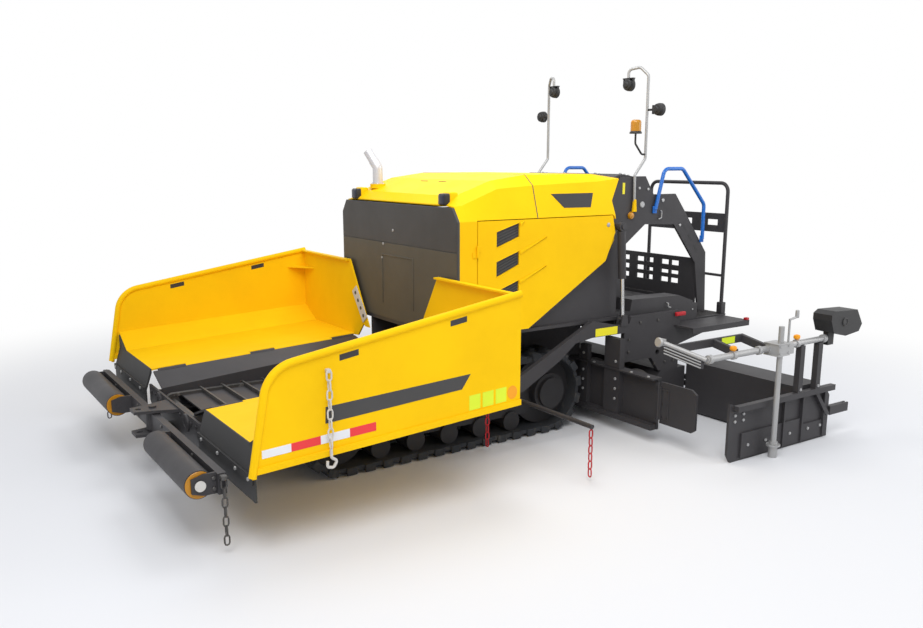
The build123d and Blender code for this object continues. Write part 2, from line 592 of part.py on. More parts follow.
# ------------------------------------------------------------------ wing cylinders
for side, sign in SIDES:
    foot, eye = Vector(WING_CYL_X, *WING_CYL_FOOT), wing_eye()
    along = (eye - foot).normalized()
    reach = (eye - foot).length
    with BuildPart() as barrel:
        rod(foot + along * 62, foot + along * (reach - 160), 38)
        rod(foot, foot + along * 70, 16)
        rod(foot - FOLD_AXIS * 18, foot + FOLD_AXIS * 18, 34)
        rod(foot - FOLD_AXIS * 18, foot + FOLD_AXIS * 18, 15 + RUN, mode=Mode.SUBTRACT)
        rod(foot + along * (reach - 170), foot + along * (reach - 150), 20 + SEAT, mode=Mode.SUBTRACT)
        rod(foot + along * 80, foot + along * reach, 20 + SEAT, mode=Mode.SUBTRACT)
        other_side(sign)
    save(barrel, f"wing_cylinder_{side}")
    with BuildPart() as ram:
        rod(foot + along * 90, eye - along * 20, 20)
        half = FOLD_AXIS * (WING_LUG - SEAT)
        rod(eye - half, eye + half, 28)
        other_side(sign)
    save(ram, f"wing_ram_{side}")

# ------------------------------------------------------------------ engine and hood
with BuildPart() as engine:
    block((-820, 220), (-340, 340), (DECK_Z, 1620))
save(engine, "engine_block")

SIDE_LOW = ((-180, DECK_Z), (-945, 1335), (-1045, 1500), (-1000, 1800))
DOOR_GAP = 6
door_outline = ((DOOR_FRONT, DECK_Z + 10), (DOOR_FRONT, DOOR_TOP), (-990, DOOR_TOP), (-1020, 1560),
                (-928, 1345), (-185, DECK_Z + 10))
# place, crease height and roof height of the hood's cross-sections
ROOF = ((HOOD_FRONT - 20, 1790, 1800), (350, 1800, 1860), (60, 1905, 1960), (-250, 1925, HOOD_TOP),
        (-900, 1945, HOOD_TOP), (HOOD_REAR, 1966, 1975))
PANEL_TOP = 1784
ROOF_Y = 705                # half-width of the roof's level part


def roof_z(x):
    """Height of the roof's middle above a place along the front slope."""
    (x_low, _, z_low), (x_high, _, z_high) = ROOF[0], ROOF[1]
    return z_low + (z_high - z_low) * (x_low - x) / (x_low - x_high)


def hood_section(x, crease, roof, skin):
    """The hood's cross-section, a skin's thickness inside its surface."""
    half = HOOD_Y - skin
    low = DECK_Z - (10 if skin else 0)
    with BuildSketch(Plane.YZ.offset(x)) as section:
        with BuildLine():
            Polyline((-half, low), (-half, 1690 - skin / 2), (-800 + skin, crease - skin),
                     (-ROOF_Y, roof - skin), (ROOF_Y, roof - skin), (800 - skin, crease - skin),
                     (half, 1690 - skin / 2), (half, low), close=True)
        make_face()
    return section.sketch


def door_knuckle(sign, foot, way):
    """One knuckle of a side door's hinge with its leaf, towards the front or the rear."""
    rod((DOOR_AXIS_X, sign * DOOR_AXIS_Y, foot), (DOOR_AXIS_X, sign * DOOR_AXIS_Y, foot + KNUCKLE_H), 8)
    near, far = sorted((DOOR_AXIS_X + 2 * way, DOOR_AXIS_X + 38 * way))
    block((near, far), band(sign, HOOD_Y, HOOD_Y + 5), (foot, foot + KNUCKLE_H))


with BuildPart() as hood:
    loft([hood_section(*row, 0) for row in ROOF], ruled=True)
    # the sides rise towards the rear
    plate_xz((*SIDE_LOW, (HOOD_REAR - 5, 1965), (HOOD_REAR - 5, DECK_Z - 5), (-180, DECK_Z - 5)),
             -HOOD_Y - 5, HOOD_Y + 5, mode=Mode.SUBTRACT)
    # hollow for the engine, open to the deck and the front
    with BuildPart(mode=Mode.PRIVATE) as void:
        loft([hood_section(x, crease, roof, SHELL) for x, crease, roof in ROOF[:-1]], ruled=True)
        block((-960, HOOD_FRONT - 20), (-HOOD_Y, HOOD_Y), (DECK_Z - 10, HOOD_TOP), mode=Mode.INTERSECT)
    add(void.part, mode=Mode.SUBTRACT)
    # side openings behind the doors
    opening = ((DOOR_FRONT + DOOR_GAP, DECK_Z - 10), (DOOR_FRONT + DOOR_GAP, DOOR_TOP + DOOR_GAP),
               (DOOR_GAP - 1000, DOOR_TOP + DOOR_GAP), (-1100, 1560), (-1000, 1300), (-185, DECK_Z - 10))
    for y in (HOOD_Y - DOOR_T - DOOR_GAP, -HOOD_Y - 5):
        plate_xz(opening, y, y + DOOR_T + DOOR_GAP + 5, mode=Mode.SUBTRACT)
    # hinge halves of the side doors
    for sign in (1, -1):
        for z in DOOR_HINGES:
            door_knuckle(sign, z - KNUCKLE_H, 1)
    # collar that the exhaust stands on
    with Locations((EXHAUST[0], EXHAUST[1], 1880)):
        Cylinder(62, EXHAUST_Z - 1880, align=(Align.CENTER, Align.CENTER, Align.MIN))
save(hood, "hood")

with BuildPart() as front_panel:
    plate_yz(((-HOOD_Y, DECK_Z), (-HOOD_Y, 1690), (-800, PANEL_TOP), (800, PANEL_TOP), (HOOD_Y, 1690),
              (HOOD_Y, DECK_Z)), HOOD_FRONT - 20, HOOD_FRONT)
save(front_panel, "hood_front_panel")


VENTS = ((1500, 1570), (1290, 1370), (1080, 1160))      # front and rear foot of each vent
for side, sign in SIDES:
    with BuildPart() as door:
        plate_xz(door_outline, HOOD_Y - DOOR_T, HOOD_Y)
        for front_z, rear_z in VENTS:
            plate_xz(((110, front_z), (110, front_z + 110), (-90, rear_z + 100), (-90, rear_z)),
                     HOOD_Y - 14, HOOD_Y + 5, mode=Mode.SUBTRACT)
        for z in DOOR_HINGES:
            door_knuckle(1, z, -1)
        other_side(sign)
    save(door, f"hood_door_{side}")

with BuildPart() as exhaust:
    tip = (EXHAUST[0] - 65, EXHAUST[1], EXHAUST_Z + 280)
    mitred_tube(((*EXHAUST, EXHAUST_Z), (*EXHAUST, EXHAUST_Z + 230), tip), 37)
    along = (Vector(*tip) - Vector(*EXHAUST, EXHAUST_Z + 230)).normalized()
    rod(Vector(*tip) - along * 45, Vector(*tip) + along * 5, 32, mode=Mode.SUBTRACT)
save(exhaust, "exhaust_stack")

# ------------------------------------------------------------------ rear body and platform
with BuildPart() as platform:
    for y in (400, -800):
        plate_xz(((-190, DECK_Z), (-950, 1332), (-1050, 1498), (-1030, 1640), (HOOD_REAR - 10, 1640),
                  (HOOD_REAR - 10, DECK_Z)), y, y + 400)
    block((HOOD_REAR - 22, HOOD_REAR - 10), (-800, 800), (DECK_Z - 130, 1640))
    block((PLATFORM_REAR, HOOD_REAR - 10), (-800, 800), (PLATFORM_Z - 45, PLATFORM_Z))
    # side skirts, the low lockers above them, and the step behind
    for y in (770, -800):
        block((PLATFORM_REAR, -1200), (y, y + 30), (740, PLATFORM_Z))
    for y in (ARCH_Y + 20, -800):
        plate_xz(((-1280, PLATFORM_Z), (-1300, 1000), (-1850, 990), (PLATFORM_REAR + 40, 930),
                  (PLATFORM_REAR + 40, PLATFORM_Z)), y, y + 180 - 10)
    block((PLATFORM_REAR - 20, PLATFORM_REAR), (-800, 800), (STEP_Z - 18, PLATFORM_Z))
    block((STEP_REAR, PLATFORM_REAR), (-800, 800), (STEP_Z - 18, STEP_Z))
    block((-1460, HOOD_REAR - 10), (-ARCH_Y + ARCH_T, ARCH_Y - ARCH_T), (PLATFORM_Z - 165, PLATFORM_Z - 40))
    # pins that the lift cylinders hang from
    for sign in (1, -1):
        for reach, radius in ((LIFT_Y - 20 - SEAT, 28), (LIFT_Y + 30, LIFT_PIN_R)):
            rod((LIFT_TOP[0], sign * 795, LIFT_TOP[1]), (LIFT_TOP[0], sign * reach, LIFT_TOP[1]), radius)
save(platform, "platform")

arch_outline = ((-1195, 1790), (-1258, 1572), (-1290, PLATFORM_Z), (-1375, PLATFORM_Z), (-1365, 1150),
                (-1347, 1397), (-1604, 1582), (-1948, 1568), (-2237, 1222), (-2312, STEP_Z),
                (-2400, STEP_Z), (-2368, 1307), (-2082, 1669), (-1952, 1826), (-1690, 1826),
                (-1590, 1975), (-1317, 1975))
with BuildPart() as arches:
    for y in (ARCH_Y - ARCH_T, -ARCH_Y):
        plate_xz(arch_outline, y, y + ARCH_T)
save(arches, "station_arches")

with BuildPart() as console:
    plate_xz(((-1200, 1700), (-1215, 1960), (-1330, 1995), (-1560, 1960), (-1560, 1880), (-1420, 1700)),
             -ARCH_Y + ARCH_T, ARCH_Y - ARCH_T)
save(console, "console")

with BuildPart() as guard:
    block((-2290, -2270), (-ARCH_Y + ARCH_T, ARCH_Y - ARCH_T), (STEP_Z, 1255))
    for y in (-440, -130, 180):
        for z in (1010, 1090, 1170):
            for shift in (0, 120):
                block((-2295, -2265), (y + shift, y + shift + 95), (z, z + 45), mode=Mode.SUBTRACT)
save(guard, "rear_guard")

RAIL_X, RAIL_TOP = -2425, 1910
with BuildPart() as rear_rail:
    elbow_tube(((RAIL_X, 770, STEP_Z), (RAIL_X, 770, RAIL_TOP), (RAIL_X, -126, RAIL_TOP),
               (RAIL_X, -126, STEP_Z)), TUBE_R, 60)
    for y in (770, -126):
        block((RAIL_X - 28, RAIL_X + 28), (y - 28, y + 28), (STEP_Z, STEP_Z + 100))
    block((RAIL_X - 4, RAIL_X + 4), (-126, 770), (1486, 1650))
    rod((RAIL_X, -126, 1110), (RAIL_X, 770, 1110), 12)
save(rear_rail, "rear_rail")

for side, sign in SIDES:
    y = ARCH_Y + TUBE_R
    with BuildPart() as handrail:
        elbow_tube(((-1700, y, 1700), (-1789, y, 2034), (-2007, y, 2034), (-2295, y, 1729), (-2296, y, 1429)),
                  TUBE_R, 45)
        other_side(sign)
    save(handrail, f"handrail_{side}")

# ------------------------------------------------------------------ light masts
LAMP_TOP = 2752
MAST_X, MAST_R = -1561, 12
BEACON_X = -1440
with BuildPart() as masts:
    for sign in (1, -1):
        y = sign * (ARCH_Y + MAST_R + SEAT)
        mitred_tube(((-1458, y, 1700), (-1450, y, 1985), (MAST_X, y, 2116), (MAST_X, y, LAMP_TOP + 18),
                     (-1530, sign * 560, LAMP_TOP + 83), (-1490, sign * 470, LAMP_TOP + 68),
                     (-1490, sign * 470, LAMP_TOP)), MAST_R)
save(masts, "light_masts")

with BuildPart() as lamps:
    for sign in (1, -1):
        rod((-1525, sign * 470, LAMP_TOP - SEAT - 50), (-1455, sign * 470, LAMP_TOP - SEAT - 50), 50)
        y = ARCH_Y + 2 * MAST_R + 2 * SEAT
        rod((MAST_X, sign * y, 2500), (MAST_X, sign * 700, 2500), 10)
        rod((-1600, sign * 735, 2500), (-1540, sign * 735, 2500), 48)
        plate_xz(((400, roof_z(400) + SEAT), (400, 1895), (358, 1895), (358, roof_z(358) + SEAT)),
                 sign * 663 - 32, sign * 663 + 32)
save(lamps, "work_lamps")

with BuildPart() as beacon:
    y = ARCH_Y + 14
    rod((BEACON_X, y, 2390), (BEACON_X, y, 2470), 38)
    mitred_tube(((MAST_X + MAST_R + SEAT, y, 2150), (MAST_X + 45, y, 2150), (BEACON_X, y, 2270),
                 (BEACON_X, y, 2392)), 8)
save(beacon, "beacon")

# ------------------------------------------------------------------ auger channel
with BuildPart() as boards:
    front = BOARD_X[1] + 60
    for sign in (1, -1):
        block(BOARD_X, band(sign, BOARD_Y[0], BOARD_Y[1] - 6), BOARD_Z)
        # flange that carries the boards on the frame, and the bar along their foot
        block((BOARD_X[0] - 20, front), band(sign, FRAME_Y, BOARD_Y[1] - 6), (BOARD_Z[1], BOARD_Z[1] + 12))
        block((BOARD_X[1] - 2, front), band(sign, 290, BOARD_Y[1] - 12), (BOARD_Z[0], BOARD_Z[0] + 40))
        # narrow inner post, and the wide one below the tow arm
        block((BOARD_X[1] - 2, front - 20), band(sign, 530, 620), (BOARD_Z[0] + 20, 630))
        block((BOARD_X[1] - 2, front - 10), band(sign, *POST_Y), (BOARD_Z[0] + 20, ARM_LOW - 20))
        # ears that the outer leaves hang between
        for z in (LEAF_Z[0] - 30, LEAF_Z[1]):
            block((BOARD_X[1] - 2, LEAF_X + 8), band(sign, LEAF_Y - 28, LEAF_Y), (z, z + 30))
            rod((LEAF_X, sign * LEAF_Y, z), (LEAF_X, sign * LEAF_Y, z + 30), 9)
    # auger gearbox and its hanger
    block((AUGER_X - 70, AUGER_X + 70), (-AUGER_Y[0] + 10, AUGER_Y[0] - 10), (AUGER_Z - 90, 740))
save(boards, "auger_boards")

for side, sign in SIDES:
    with BuildPart() as leaf:
        plate_yz(((BOARD_Y[1] + 20, BOARD_Z[0] + 60), (BOARD_Y[1] + 20, BOARD_Z[1] - 10),
                  (BOARD_Y[2] - 45, BOARD_Z[1] - 10), (BOARD_Y[2], BOARD_Z[1] - 40),
                  (BOARD_Y[2], BOARD_Z[0] + 85), (BOARD_Y[2] - 35, BOARD_Z[0] + 60)), *BOARD_X)
        rod((LEAF_X, LEAF_Y, LEAF_Z[0]), (LEAF_X, LEAF_Y, LEAF_Z[1]), 9)
        block((BOARD_X[1] - 4, LEAF_X + 4), (LEAF_Y, LEAF_Y + 32), LEAF_Z)
        other_side(sign)
    save(leaf, f"auger_leaf_{side}")


def flight(sign):
    """Solid of the helical flight, faceted round the shaft."""
    pitch = (AUGER_Y[1] - AUGER_Y[0] - 40) / AUGER_TURNS
    half = Vector(0, FLIGHT_T / 2, 0)
    rings = []
    for i in range(AUGER_TURNS * FLIGHT_STEPS + 1):
        turn = sign * 2 * pi * i / FLIGHT_STEPS
        outward = Vector(cos(turn), 0, sin(turn))
        middle = Vector(AUGER_X, AUGER_Y[0] + 20 + pitch * i / FLIGHT_STEPS, AUGER_Z)
        foot, tip = middle + outward * FLIGHT_FOOT, middle + outward * AUGER_R
        rings.append((foot - half, tip - half, tip + half, foot + half))
    faces = [Face(Wire.make_polygon(ring)) for ring in (rings[0], rings[-1])]
    for near, far in zip(rings, rings[1:]):
        for k in range(4):
            n = (k + 1) % 4
            faces.append(Face(Wire.make_polygon((near[k], near[n], far[n]))))
            faces.append(Face(Wire.make_polygon((near[k], far[n], far[k]))))
    return Solid(Shell(faces))


for side, sign in SIDES:
    with BuildPart() as auger:
        add(flight(sign))
        rod((AUGER_X, AUGER_Y[0] - 10, AUGER_Z), (AUGER_X, AUGER_Y[1], AUGER_Z), AUGER_SHAFT)
    if sign < 0:
        with BuildPart() as turned:
            add(auger.part)
            mirror(about=Plane.XZ, mode=Mode.REPLACE)
        auger = turned
    save(auger, f"auger_{side}")

# ------------------------------------------------------------------ screed
arm_outline = ((TOW_X + 60, TOW_Z - 45), (TOW_X + 60, TOW_Z + 45), (-120, 560), (-790, 890), (-1060, 830),
               (LIFT_EYE[0] - 60, 830), (LIFT_EYE[0] - 80, 885), (-1760, 885), (-1760, WALK_Z),
               (WALK_X[0] + 10, WALK_Z), (WALK_X[0] + 10, WALK_Z - 30), (-1760, 600), (-1760, SCREED_TOP),
               (-1530, SCREED_TOP), (-1440, PLATE_LOW), (-1130, PLATE_LOW), (-1130, ARM_LOW), (-790, ARM_LOW),
               (-620, 735), (-470, 620), (-120, 430))
with BuildPart() as arms:
    for y in (ARM_Y[0], -ARM_Y[1]):
        plate_xz(arm_outline, y, y + ARM_Y[1] - ARM_Y[0])
        rod((TOW_X, y, TOW_Z), (TOW_X, y + ARM_Y[1] - ARM_Y[0], TOW_Z), TOW_R + RUN, mode=Mode.SUBTRACT)
        rod((-1510, y, 560), (-1510, y + ARM_Y[1] - ARM_Y[0], 560), 22, mode=Mode.SUBTRACT)
    for y in (WALK_Y[0], -WALK_Y[1]):
        block(WALK_X, (y, y + WALK_Y[1] - WALK_Y[0]), (WALK_Z - 16, WALK_Z))
        for edge in (y, y + WALK_Y[1] - WALK_Y[0] - 8):
            block(WALK_X, (edge, edge + 8), (WALK_Z - 46, WALK_Z - 10))
    for y in (ARM_Y[0], -ARM_Y[1]):
        middle = LIFT_Y if y > 0 else -LIFT_Y
        for low in (middle - LIFT_LUG - 12, middle + LIFT_LUG):
            plate_xz(((LIFT_EYE[0] - 40, 820), (LIFT_EYE[0] - 25, 905), (LIFT_EYE[0] + 25, 905),
                      (LIFT_EYE[0] + 40, 820)), low, low + 12)
save(arms, "tow_arms")

with BuildPart() as screed:
    plate_xz(((SCREED_X[0], 0), (SCREED_X[0], SCREED_TOP), (SCREED_X[1] - 60, SCREED_TOP), (SCREED_X[1], 320),
              (SCREED_X[1], 25), (SCREED_X[1] - 25, 0)), -ARM_Y[1], ARM_Y[1])
    # middle bracket with the guide tubes of the extensions
    block((SLIDE_XS[1] - 45, SCREED_X[0]), (-40, 40), (SLIDE_Z - 60, SLIDE_Z + 60))
    for x in SLIDE_XS:
        rod((x, -SLIDE_Y, SLIDE_Z), (x, SLIDE_Y, SLIDE_Z), SLIDE_R)
save(screed, "screed_main")

for side, sign in SIDES:
    with BuildPart() as extension:
        plate_xz(((EXT_X[0], 0), (EXT_X[0], EXT_TOP - 120), (EXT_X[0] + 80, EXT_TOP), (EXT_X[1], EXT_TOP),
                  (EXT_X[1], 25), (EXT_X[1] - 25, 0)), *EXT_Y)
        for x in SLIDE_XS:
            rod((x, EXT_Y[0], SLIDE_Z), (x, SLIDE_Y + EXT_STROKE + 10, SLIDE_Z), SLIDE_R + RUN,
                mode=Mode.SUBTRACT)
        other_side(sign)
    save(extension, f"screed_extension_{side}")
    with BuildPart() as end_plate:
        plate_xz(((END_X[0], 0), (END_X[0], 330), (END_X[0] + 60, END_TOP), (-1200, END_TOP), (END_X[1], 440),
                  (END_X[1], 60), (END_X[1] - 40, 0)), EXT_Y[1], EXT_Y[1] + END_T)
        face = EXT_Y[1] + END_T
        # upper rail, stepped lower pad and upright ribs
        block((END_X[0], -1140), (face, face + 45), (END_TOP - 22, END_TOP + 20))
        plate_xz(((-2230, 20), (-2230, 150), (-1900, 150), (-1900, 205), (-1230, 205), (-1230, 20)),
                 face, face + 14)
        for x in (-1700, -1920, -2190):
            block((x, x + 14), (face, face + 26), (20, END_TOP - 20))
        for x in (-1850, -2065):
            block((x, x + 50), (face, face + 45), (END_TOP, POST_TOP))
        # brace behind the rear post, and the rear towing fork
        plate_xz(((-2030, END_TOP), (-2065, END_TOP), (-2245, 190), (-2205, 180)), face, face + 30)
        block((-2500, END_X[0] + 5), (EXT_Y[1], EXT_Y[1] + 40), (170, 240))
        block((-2505, -2440), (EXT_Y[1] + 12, EXT_Y[1] + 28), (165, 245), mode=Mode.SUBTRACT)
        other_side(sign)
    save(end_plate, f"end_plate_{side}")
    pole_y = EXT_Y[1] + END_T + 22
    post_y = pole_y + 60
    with BuildPart() as grade:
        rod((-800, pole_y, GRADE_Z), (-2120, pole_y, GRADE_Z), GRADE_R)
        rod((-800, pole_y, GRADE_Z), (-650, 1740, 890), 16)
        with Locations((-650, 1740, 890)):
            Box(44, 44, 44)
        # levelling post with its foot, clamp and crank
        rod((GRADE_POST_X, post_y, 0), (GRADE_POST_X, post_y, 960), 20)
        rod((GRADE_POST_X, post_y, 0), (GRADE_POST_X, post_y, 85), 32)
        rod((GRADE_POST_X, post_y, 85), (GRADE_POST_X, post_y, 97), 50)
        block((CRANK_X - 25, GRADE_POST_X + 60), (pole_y - 30, post_y + 34), (GRADE_Z - 37, GRADE_Z + 37))
        mitred_tube(((CRANK_X, post_y, GRADE_Z), (CRANK_X, post_y, 1000),
                     (CRANK_X - 80, post_y, 1012), (CRANK_X - 80, post_y, 1062)), 8)
        other_side(sign)
    save(grade, f"grade_bar_{side}")
    with BuildPart() as control:
        block((-2190, -2120 - SEAT), (pole_y - 22, pole_y + 22), (745, 860))
        plate_xz(((-2060, 940), (-2060, 985), (-2110, 1010), (-2380, 1000), (-2455, 885), (-2420, 830),
                  (-2250, 812), (-2100, 850)), pole_y - 78, pole_y + 78)
        other_side(sign)
    save(control, f"control_box_{side}")

# ------------------------------------------------------------------ lift cylinders
top = Vector(LIFT_TOP[0], 0, LIFT_TOP[1])
eye = Vector(LIFT_EYE[0], 0, LIFT_EYE[1])
along = (eye - top).normalized()
reach = (eye - top).length
with BuildPart() as lift_barrels:
    for y in (LIFT_Y, -LIFT_Y):
        at = top + Vector(0, y, 0)
        rod(at + along * 34, at + along * (reach - 330), 32)
        rod(at - Vector(0, 20, 0), at + Vector(0, 20, 0), 36)
        rod(at - Vector(0, 20, 0), at + Vector(0, 20, 0), LIFT_PIN_R + RUN, mode=Mode.SUBTRACT)
        rod(at + along * 60, at + along * reach, 16 + SEAT, mode=Mode.SUBTRACT)
save(lift_barrels, "lift_barrels")
with BuildPart() as lift_rams:
    for y in (LIFT_Y, -LIFT_Y):
        at = top + Vector(0, y, 0)
        half = Vector(0, LIFT_LUG - SEAT, 0)
        rod(at + along * 240, at + along * (reach - 15), 16)
        rod(at + along * reach - half, at + along * reach + half, 24)
save(lift_rams, "lift_rams")
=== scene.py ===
# %% [markdown]
# # A small tracked asphalt paver
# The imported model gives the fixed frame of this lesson: every rigid body is already in place, in metres,
# with +X forward, +Y to the machine's left and the ground at Z = 0. We load it first, and keep its size,
# so that nothing we add later makes the machine larger than it is.

# %% Load the frame
import bpy
import bmesh
from math import atan2, cos, pi, radians, sin, tan
from mathutils import Matrix, Vector


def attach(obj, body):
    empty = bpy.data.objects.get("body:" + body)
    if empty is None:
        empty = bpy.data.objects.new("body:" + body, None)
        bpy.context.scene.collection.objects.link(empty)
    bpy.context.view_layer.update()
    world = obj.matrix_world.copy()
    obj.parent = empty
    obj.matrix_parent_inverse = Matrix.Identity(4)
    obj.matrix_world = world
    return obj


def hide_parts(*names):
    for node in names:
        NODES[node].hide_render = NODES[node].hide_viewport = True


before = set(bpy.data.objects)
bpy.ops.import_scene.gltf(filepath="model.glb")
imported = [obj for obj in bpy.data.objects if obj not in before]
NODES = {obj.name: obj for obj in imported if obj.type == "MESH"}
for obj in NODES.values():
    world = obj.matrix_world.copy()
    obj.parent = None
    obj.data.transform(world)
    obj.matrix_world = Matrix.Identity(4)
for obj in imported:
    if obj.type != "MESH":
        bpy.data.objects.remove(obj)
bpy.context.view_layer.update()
SIDES = (("left", 1), ("right", -1))
print("nodes:", len(NODES))

# %% [markdown]
# ## Camera
# A machine of this kind is best shown from its front left corner, from a little above a person's eyes.
# The lens is given as a focal length on a 36 mm wide sensor. A small vertical shift keeps the horizon
# where it is without tilting the camera further.

# %% Camera
DOWN, HEADING = 11.67, 146.2        # degrees below level, and degrees round from a view along +Y
scene = bpy.context.scene
camera_data = bpy.data.cameras.new("camera")
camera_data.sensor_width = 36
camera_data.lens = 33.66
camera_data.shift_y = 0.027
camera = bpy.data.objects.new("camera", camera_data)
camera.location = (3.68, 5.76, 2.10)
camera.rotation_euler = (radians(90 - DOWN), 0, radians(HEADING))
scene.collection.objects.link(camera)
scene.camera = camera
print("camera", tuple(camera.location))

# %% [markdown]
# ## Studio
# Materials are small graphs of nodes. One helper adds a node and sets its inputs, and another tells what is
# seen, straight or in a polished surface, from the light that only bounces.

# %% Helpers for nodes


def new_node(tree, kind, inputs=None):
    """A new shader node with the values of some of its inputs."""
    node = tree.nodes.new("ShaderNode" + kind)
    for label, value in (inputs or {}).items():
        node.inputs[label].default_value = value
    return node


def is_seen(tree):
    """An output that is 1 where the camera or a polished surface looks, and 0 for other light."""
    rays = new_node(tree, "LightPath")
    either = new_node(tree, "Math")
    either.operation = "MAXIMUM"
    tree.links.new(rays.outputs["Is Camera Ray"], either.inputs[0])
    tree.links.new(rays.outputs["Is Glossy Ray"], either.inputs[1])
    return either.outputs[0]


# %% [markdown]
# The floor is a wide pale disc that takes the machine's shadow. Its far part has to melt into the white
# background, so its material fades from a pale lit surface to plain white with the distance from the
# machine. The fade is measured on object coordinates, so it stays on the floor from every side.

# %% Floor
floor_mesh = bpy.data.meshes.new("floor")
bm = bmesh.new()
bmesh.ops.create_circle(bm, cap_ends=True, segments=64, radius=30)
bm.to_mesh(floor_mesh)
bm.free()
floor = bpy.data.objects.new("floor", floor_mesh)
scene.collection.objects.link(floor)
print("floor", len(floor_mesh.vertices), "corners")

# %% Finish of the floor
FADE = (3.0, 6.8)           # where the floor starts to fade, and where it is white, in metres
floor_material = bpy.data.materials.new("floor")
floor_material.use_nodes = True
tree = floor_material.node_tree
surface = tree.nodes["Principled BSDF"]
surface.inputs["Base Color"].default_value = (0.765, 0.775, 0.805, 1)
surface.inputs["Roughness"].default_value = 0.8
distance = new_node(tree, "VectorMath")
distance.operation = "LENGTH"
tree.links.new(new_node(tree, "TexCoord").outputs["Object"], distance.inputs[0])
fade = new_node(tree, "MapRange", {"From Min": FADE[0], "From Max": FADE[1]})
fade.interpolation_type = "SMOOTHSTEP"
tree.links.new(distance.outputs["Value"], fade.inputs["Value"])
share = new_node(tree, "Math")
share.operation = "MULTIPLY"
tree.links.new(fade.outputs["Result"], share.inputs[0])
tree.links.new(is_seen(tree), share.inputs[1])
blend = new_node(tree, "MixShader")
tree.links.new(share.outputs[0], blend.inputs[0])
tree.links.new(surface.outputs[0], blend.inputs[1])
tree.links.new(new_node(tree, "Emission").outputs[0], blend.inputs[2])
tree.links.new(blend.outputs[0], tree.nodes["Material Output"].inputs["Surface"])
floor_mesh.materials.append(floor_material)
print("floor fades between", FADE)

# %% [markdown]
# The lamps are large and soft, because sheet metal shows its shape through broad, gentle reflections. The
# world adds an even fill, and where the camera or a polished surface looks past the floor it is white.

# %% Lamps
MIDDLE = (0, 0, 0.8)        # the point of the machine that the large lamps look at


def area_lamp(name, place, target, size, power):
    """A square soft lamp that points at a place."""
    data = bpy.data.lights.new(name, "AREA")
    data.shape = "SQUARE"
    data.size = size
    data.energy = power
    lamp = bpy.data.objects.new(name, data)
    lamp.location = place
    lamp.rotation_euler = (Vector(target) - Vector(place)).to_track_quat("-Z", "Y").to_euler()
    scene.collection.objects.link(lamp)
    return lamp


area_lamp("key", (3.2, 5.0, 7.0), MIDDLE, 5.0, 372)
area_lamp("fill", (-6.5, 5.0, 3.4), MIDDLE, 5.0, 150)
area_lamp("back", (-3.0, -7.0, 6.0), MIDDLE, 5.0, 95)
area_lamp("top", (-0.2, 0.3, 4.4), (-0.2, 0.2, 1.9), 1.8, 25).data.spread = radians(110)

# %% World
world = bpy.data.worlds.new("studio")
scene.world = world
world.use_nodes = True
tree = world.node_tree
background = tree.nodes["Background"]
background.inputs["Color"].default_value = (0.97, 0.98, 1.0, 1)
background.inputs["Strength"].default_value = 0.62
white = new_node(tree, "Background", {"Color": (1, 1, 1, 1), "Strength": 1.0})
choice = new_node(tree, "MixShader")
tree.links.new(is_seen(tree), choice.inputs[0])
tree.links.new(background.outputs[0], choice.inputs[1])
tree.links.new(white.outputs[0], choice.inputs[2])
tree.links.new(choice.outputs[0], tree.nodes["World Output"].inputs["Surface"])
scene.view_settings.view_transform = "Standard"
print("view:", scene.view_settings.view_transform)

# %% [markdown]
# ## Paint
# Machine paint is not one flat colour. Sprayed enamel has a faint orange-peel surface, its colour drifts
# a little over a large sheet, and dust dulls it in soft clouds. One helper makes every painted finish from
# a noise on object coordinates, so the scale of the detail is the same on every piece.

# %% Helper for a finish


def finish(name, colour, dull, roughness, metallic=0.0, coat=0.0, peel=0.02, peel_scale=220,
           rough_spread=0.12, fleck=None, shine=0.35):
    """A procedural finish: cloudy colour between two tones, cloudy roughness and a fine bump."""
    made = bpy.data.materials.new(name)
    made.use_nodes = True
    tree = made.node_tree
    link = tree.links.new
    shader = tree.nodes["Principled BSDF"]
    place = new_node(tree, "TexCoord").outputs["Object"]
    cloud = new_node(tree, "TexNoise", {"Scale": 1.6, "Detail": 6, "Roughness": 0.6})
    link(place, cloud.inputs["Vector"])
    tones = new_node(tree, "ValToRGB")
    for stop, position, tone in zip(tones.color_ramp.elements, (0.35, 0.62), (dull, colour)):
        stop.position = position
        stop.color = (*tone, 1)
    link(cloud.outputs["Fac"], tones.inputs["Fac"])
    colour_out = tones.outputs["Color"]
    if fleck:
        scale, share, tint = fleck
        grain = new_node(tree, "TexNoise", {"Scale": scale, "Detail": 8})
        link(place, grain.inputs["Vector"])
        edge = new_node(tree, "MapRange", {"From Min": share, "From Max": share + 0.06})
        link(grain.outputs["Fac"], edge.inputs["Value"])
        mix = new_node(tree, "Mix")
        mix.data_type = "RGBA"
        link(edge.outputs["Result"], mix.inputs["Factor"])
        link(colour_out, mix.inputs["A"])
        mix.inputs["B"].default_value = (*tint, 1)
        colour_out = mix.outputs["Result"]
    link(colour_out, shader.inputs["Base Color"])
    spread = new_node(tree, "MapRange", {"From Min": 0.3, "From Max": 0.7,
                                         "To Min": roughness + rough_spread, "To Max": roughness})
    link(cloud.outputs["Fac"], spread.inputs["Value"])
    link(spread.outputs["Result"], shader.inputs["Roughness"])
    fine = new_node(tree, "TexNoise", {"Scale": peel_scale, "Detail": 2})
    link(place, fine.inputs["Vector"])
    bump = new_node(tree, "Bump", {"Strength": peel, "Distance": 0.002})
    link(fine.outputs["Fac"], bump.inputs["Height"])
    link(bump.outputs["Normal"], shader.inputs["Normal"])
    shader.inputs["Metallic"].default_value = metallic
    shader.inputs["Specular IOR Level"].default_value = shine
    shader.inputs["Coat Weight"].default_value = coat
    shader.inputs["Coat Roughness"].default_value = 0.12
    print("finish", name)
    return made


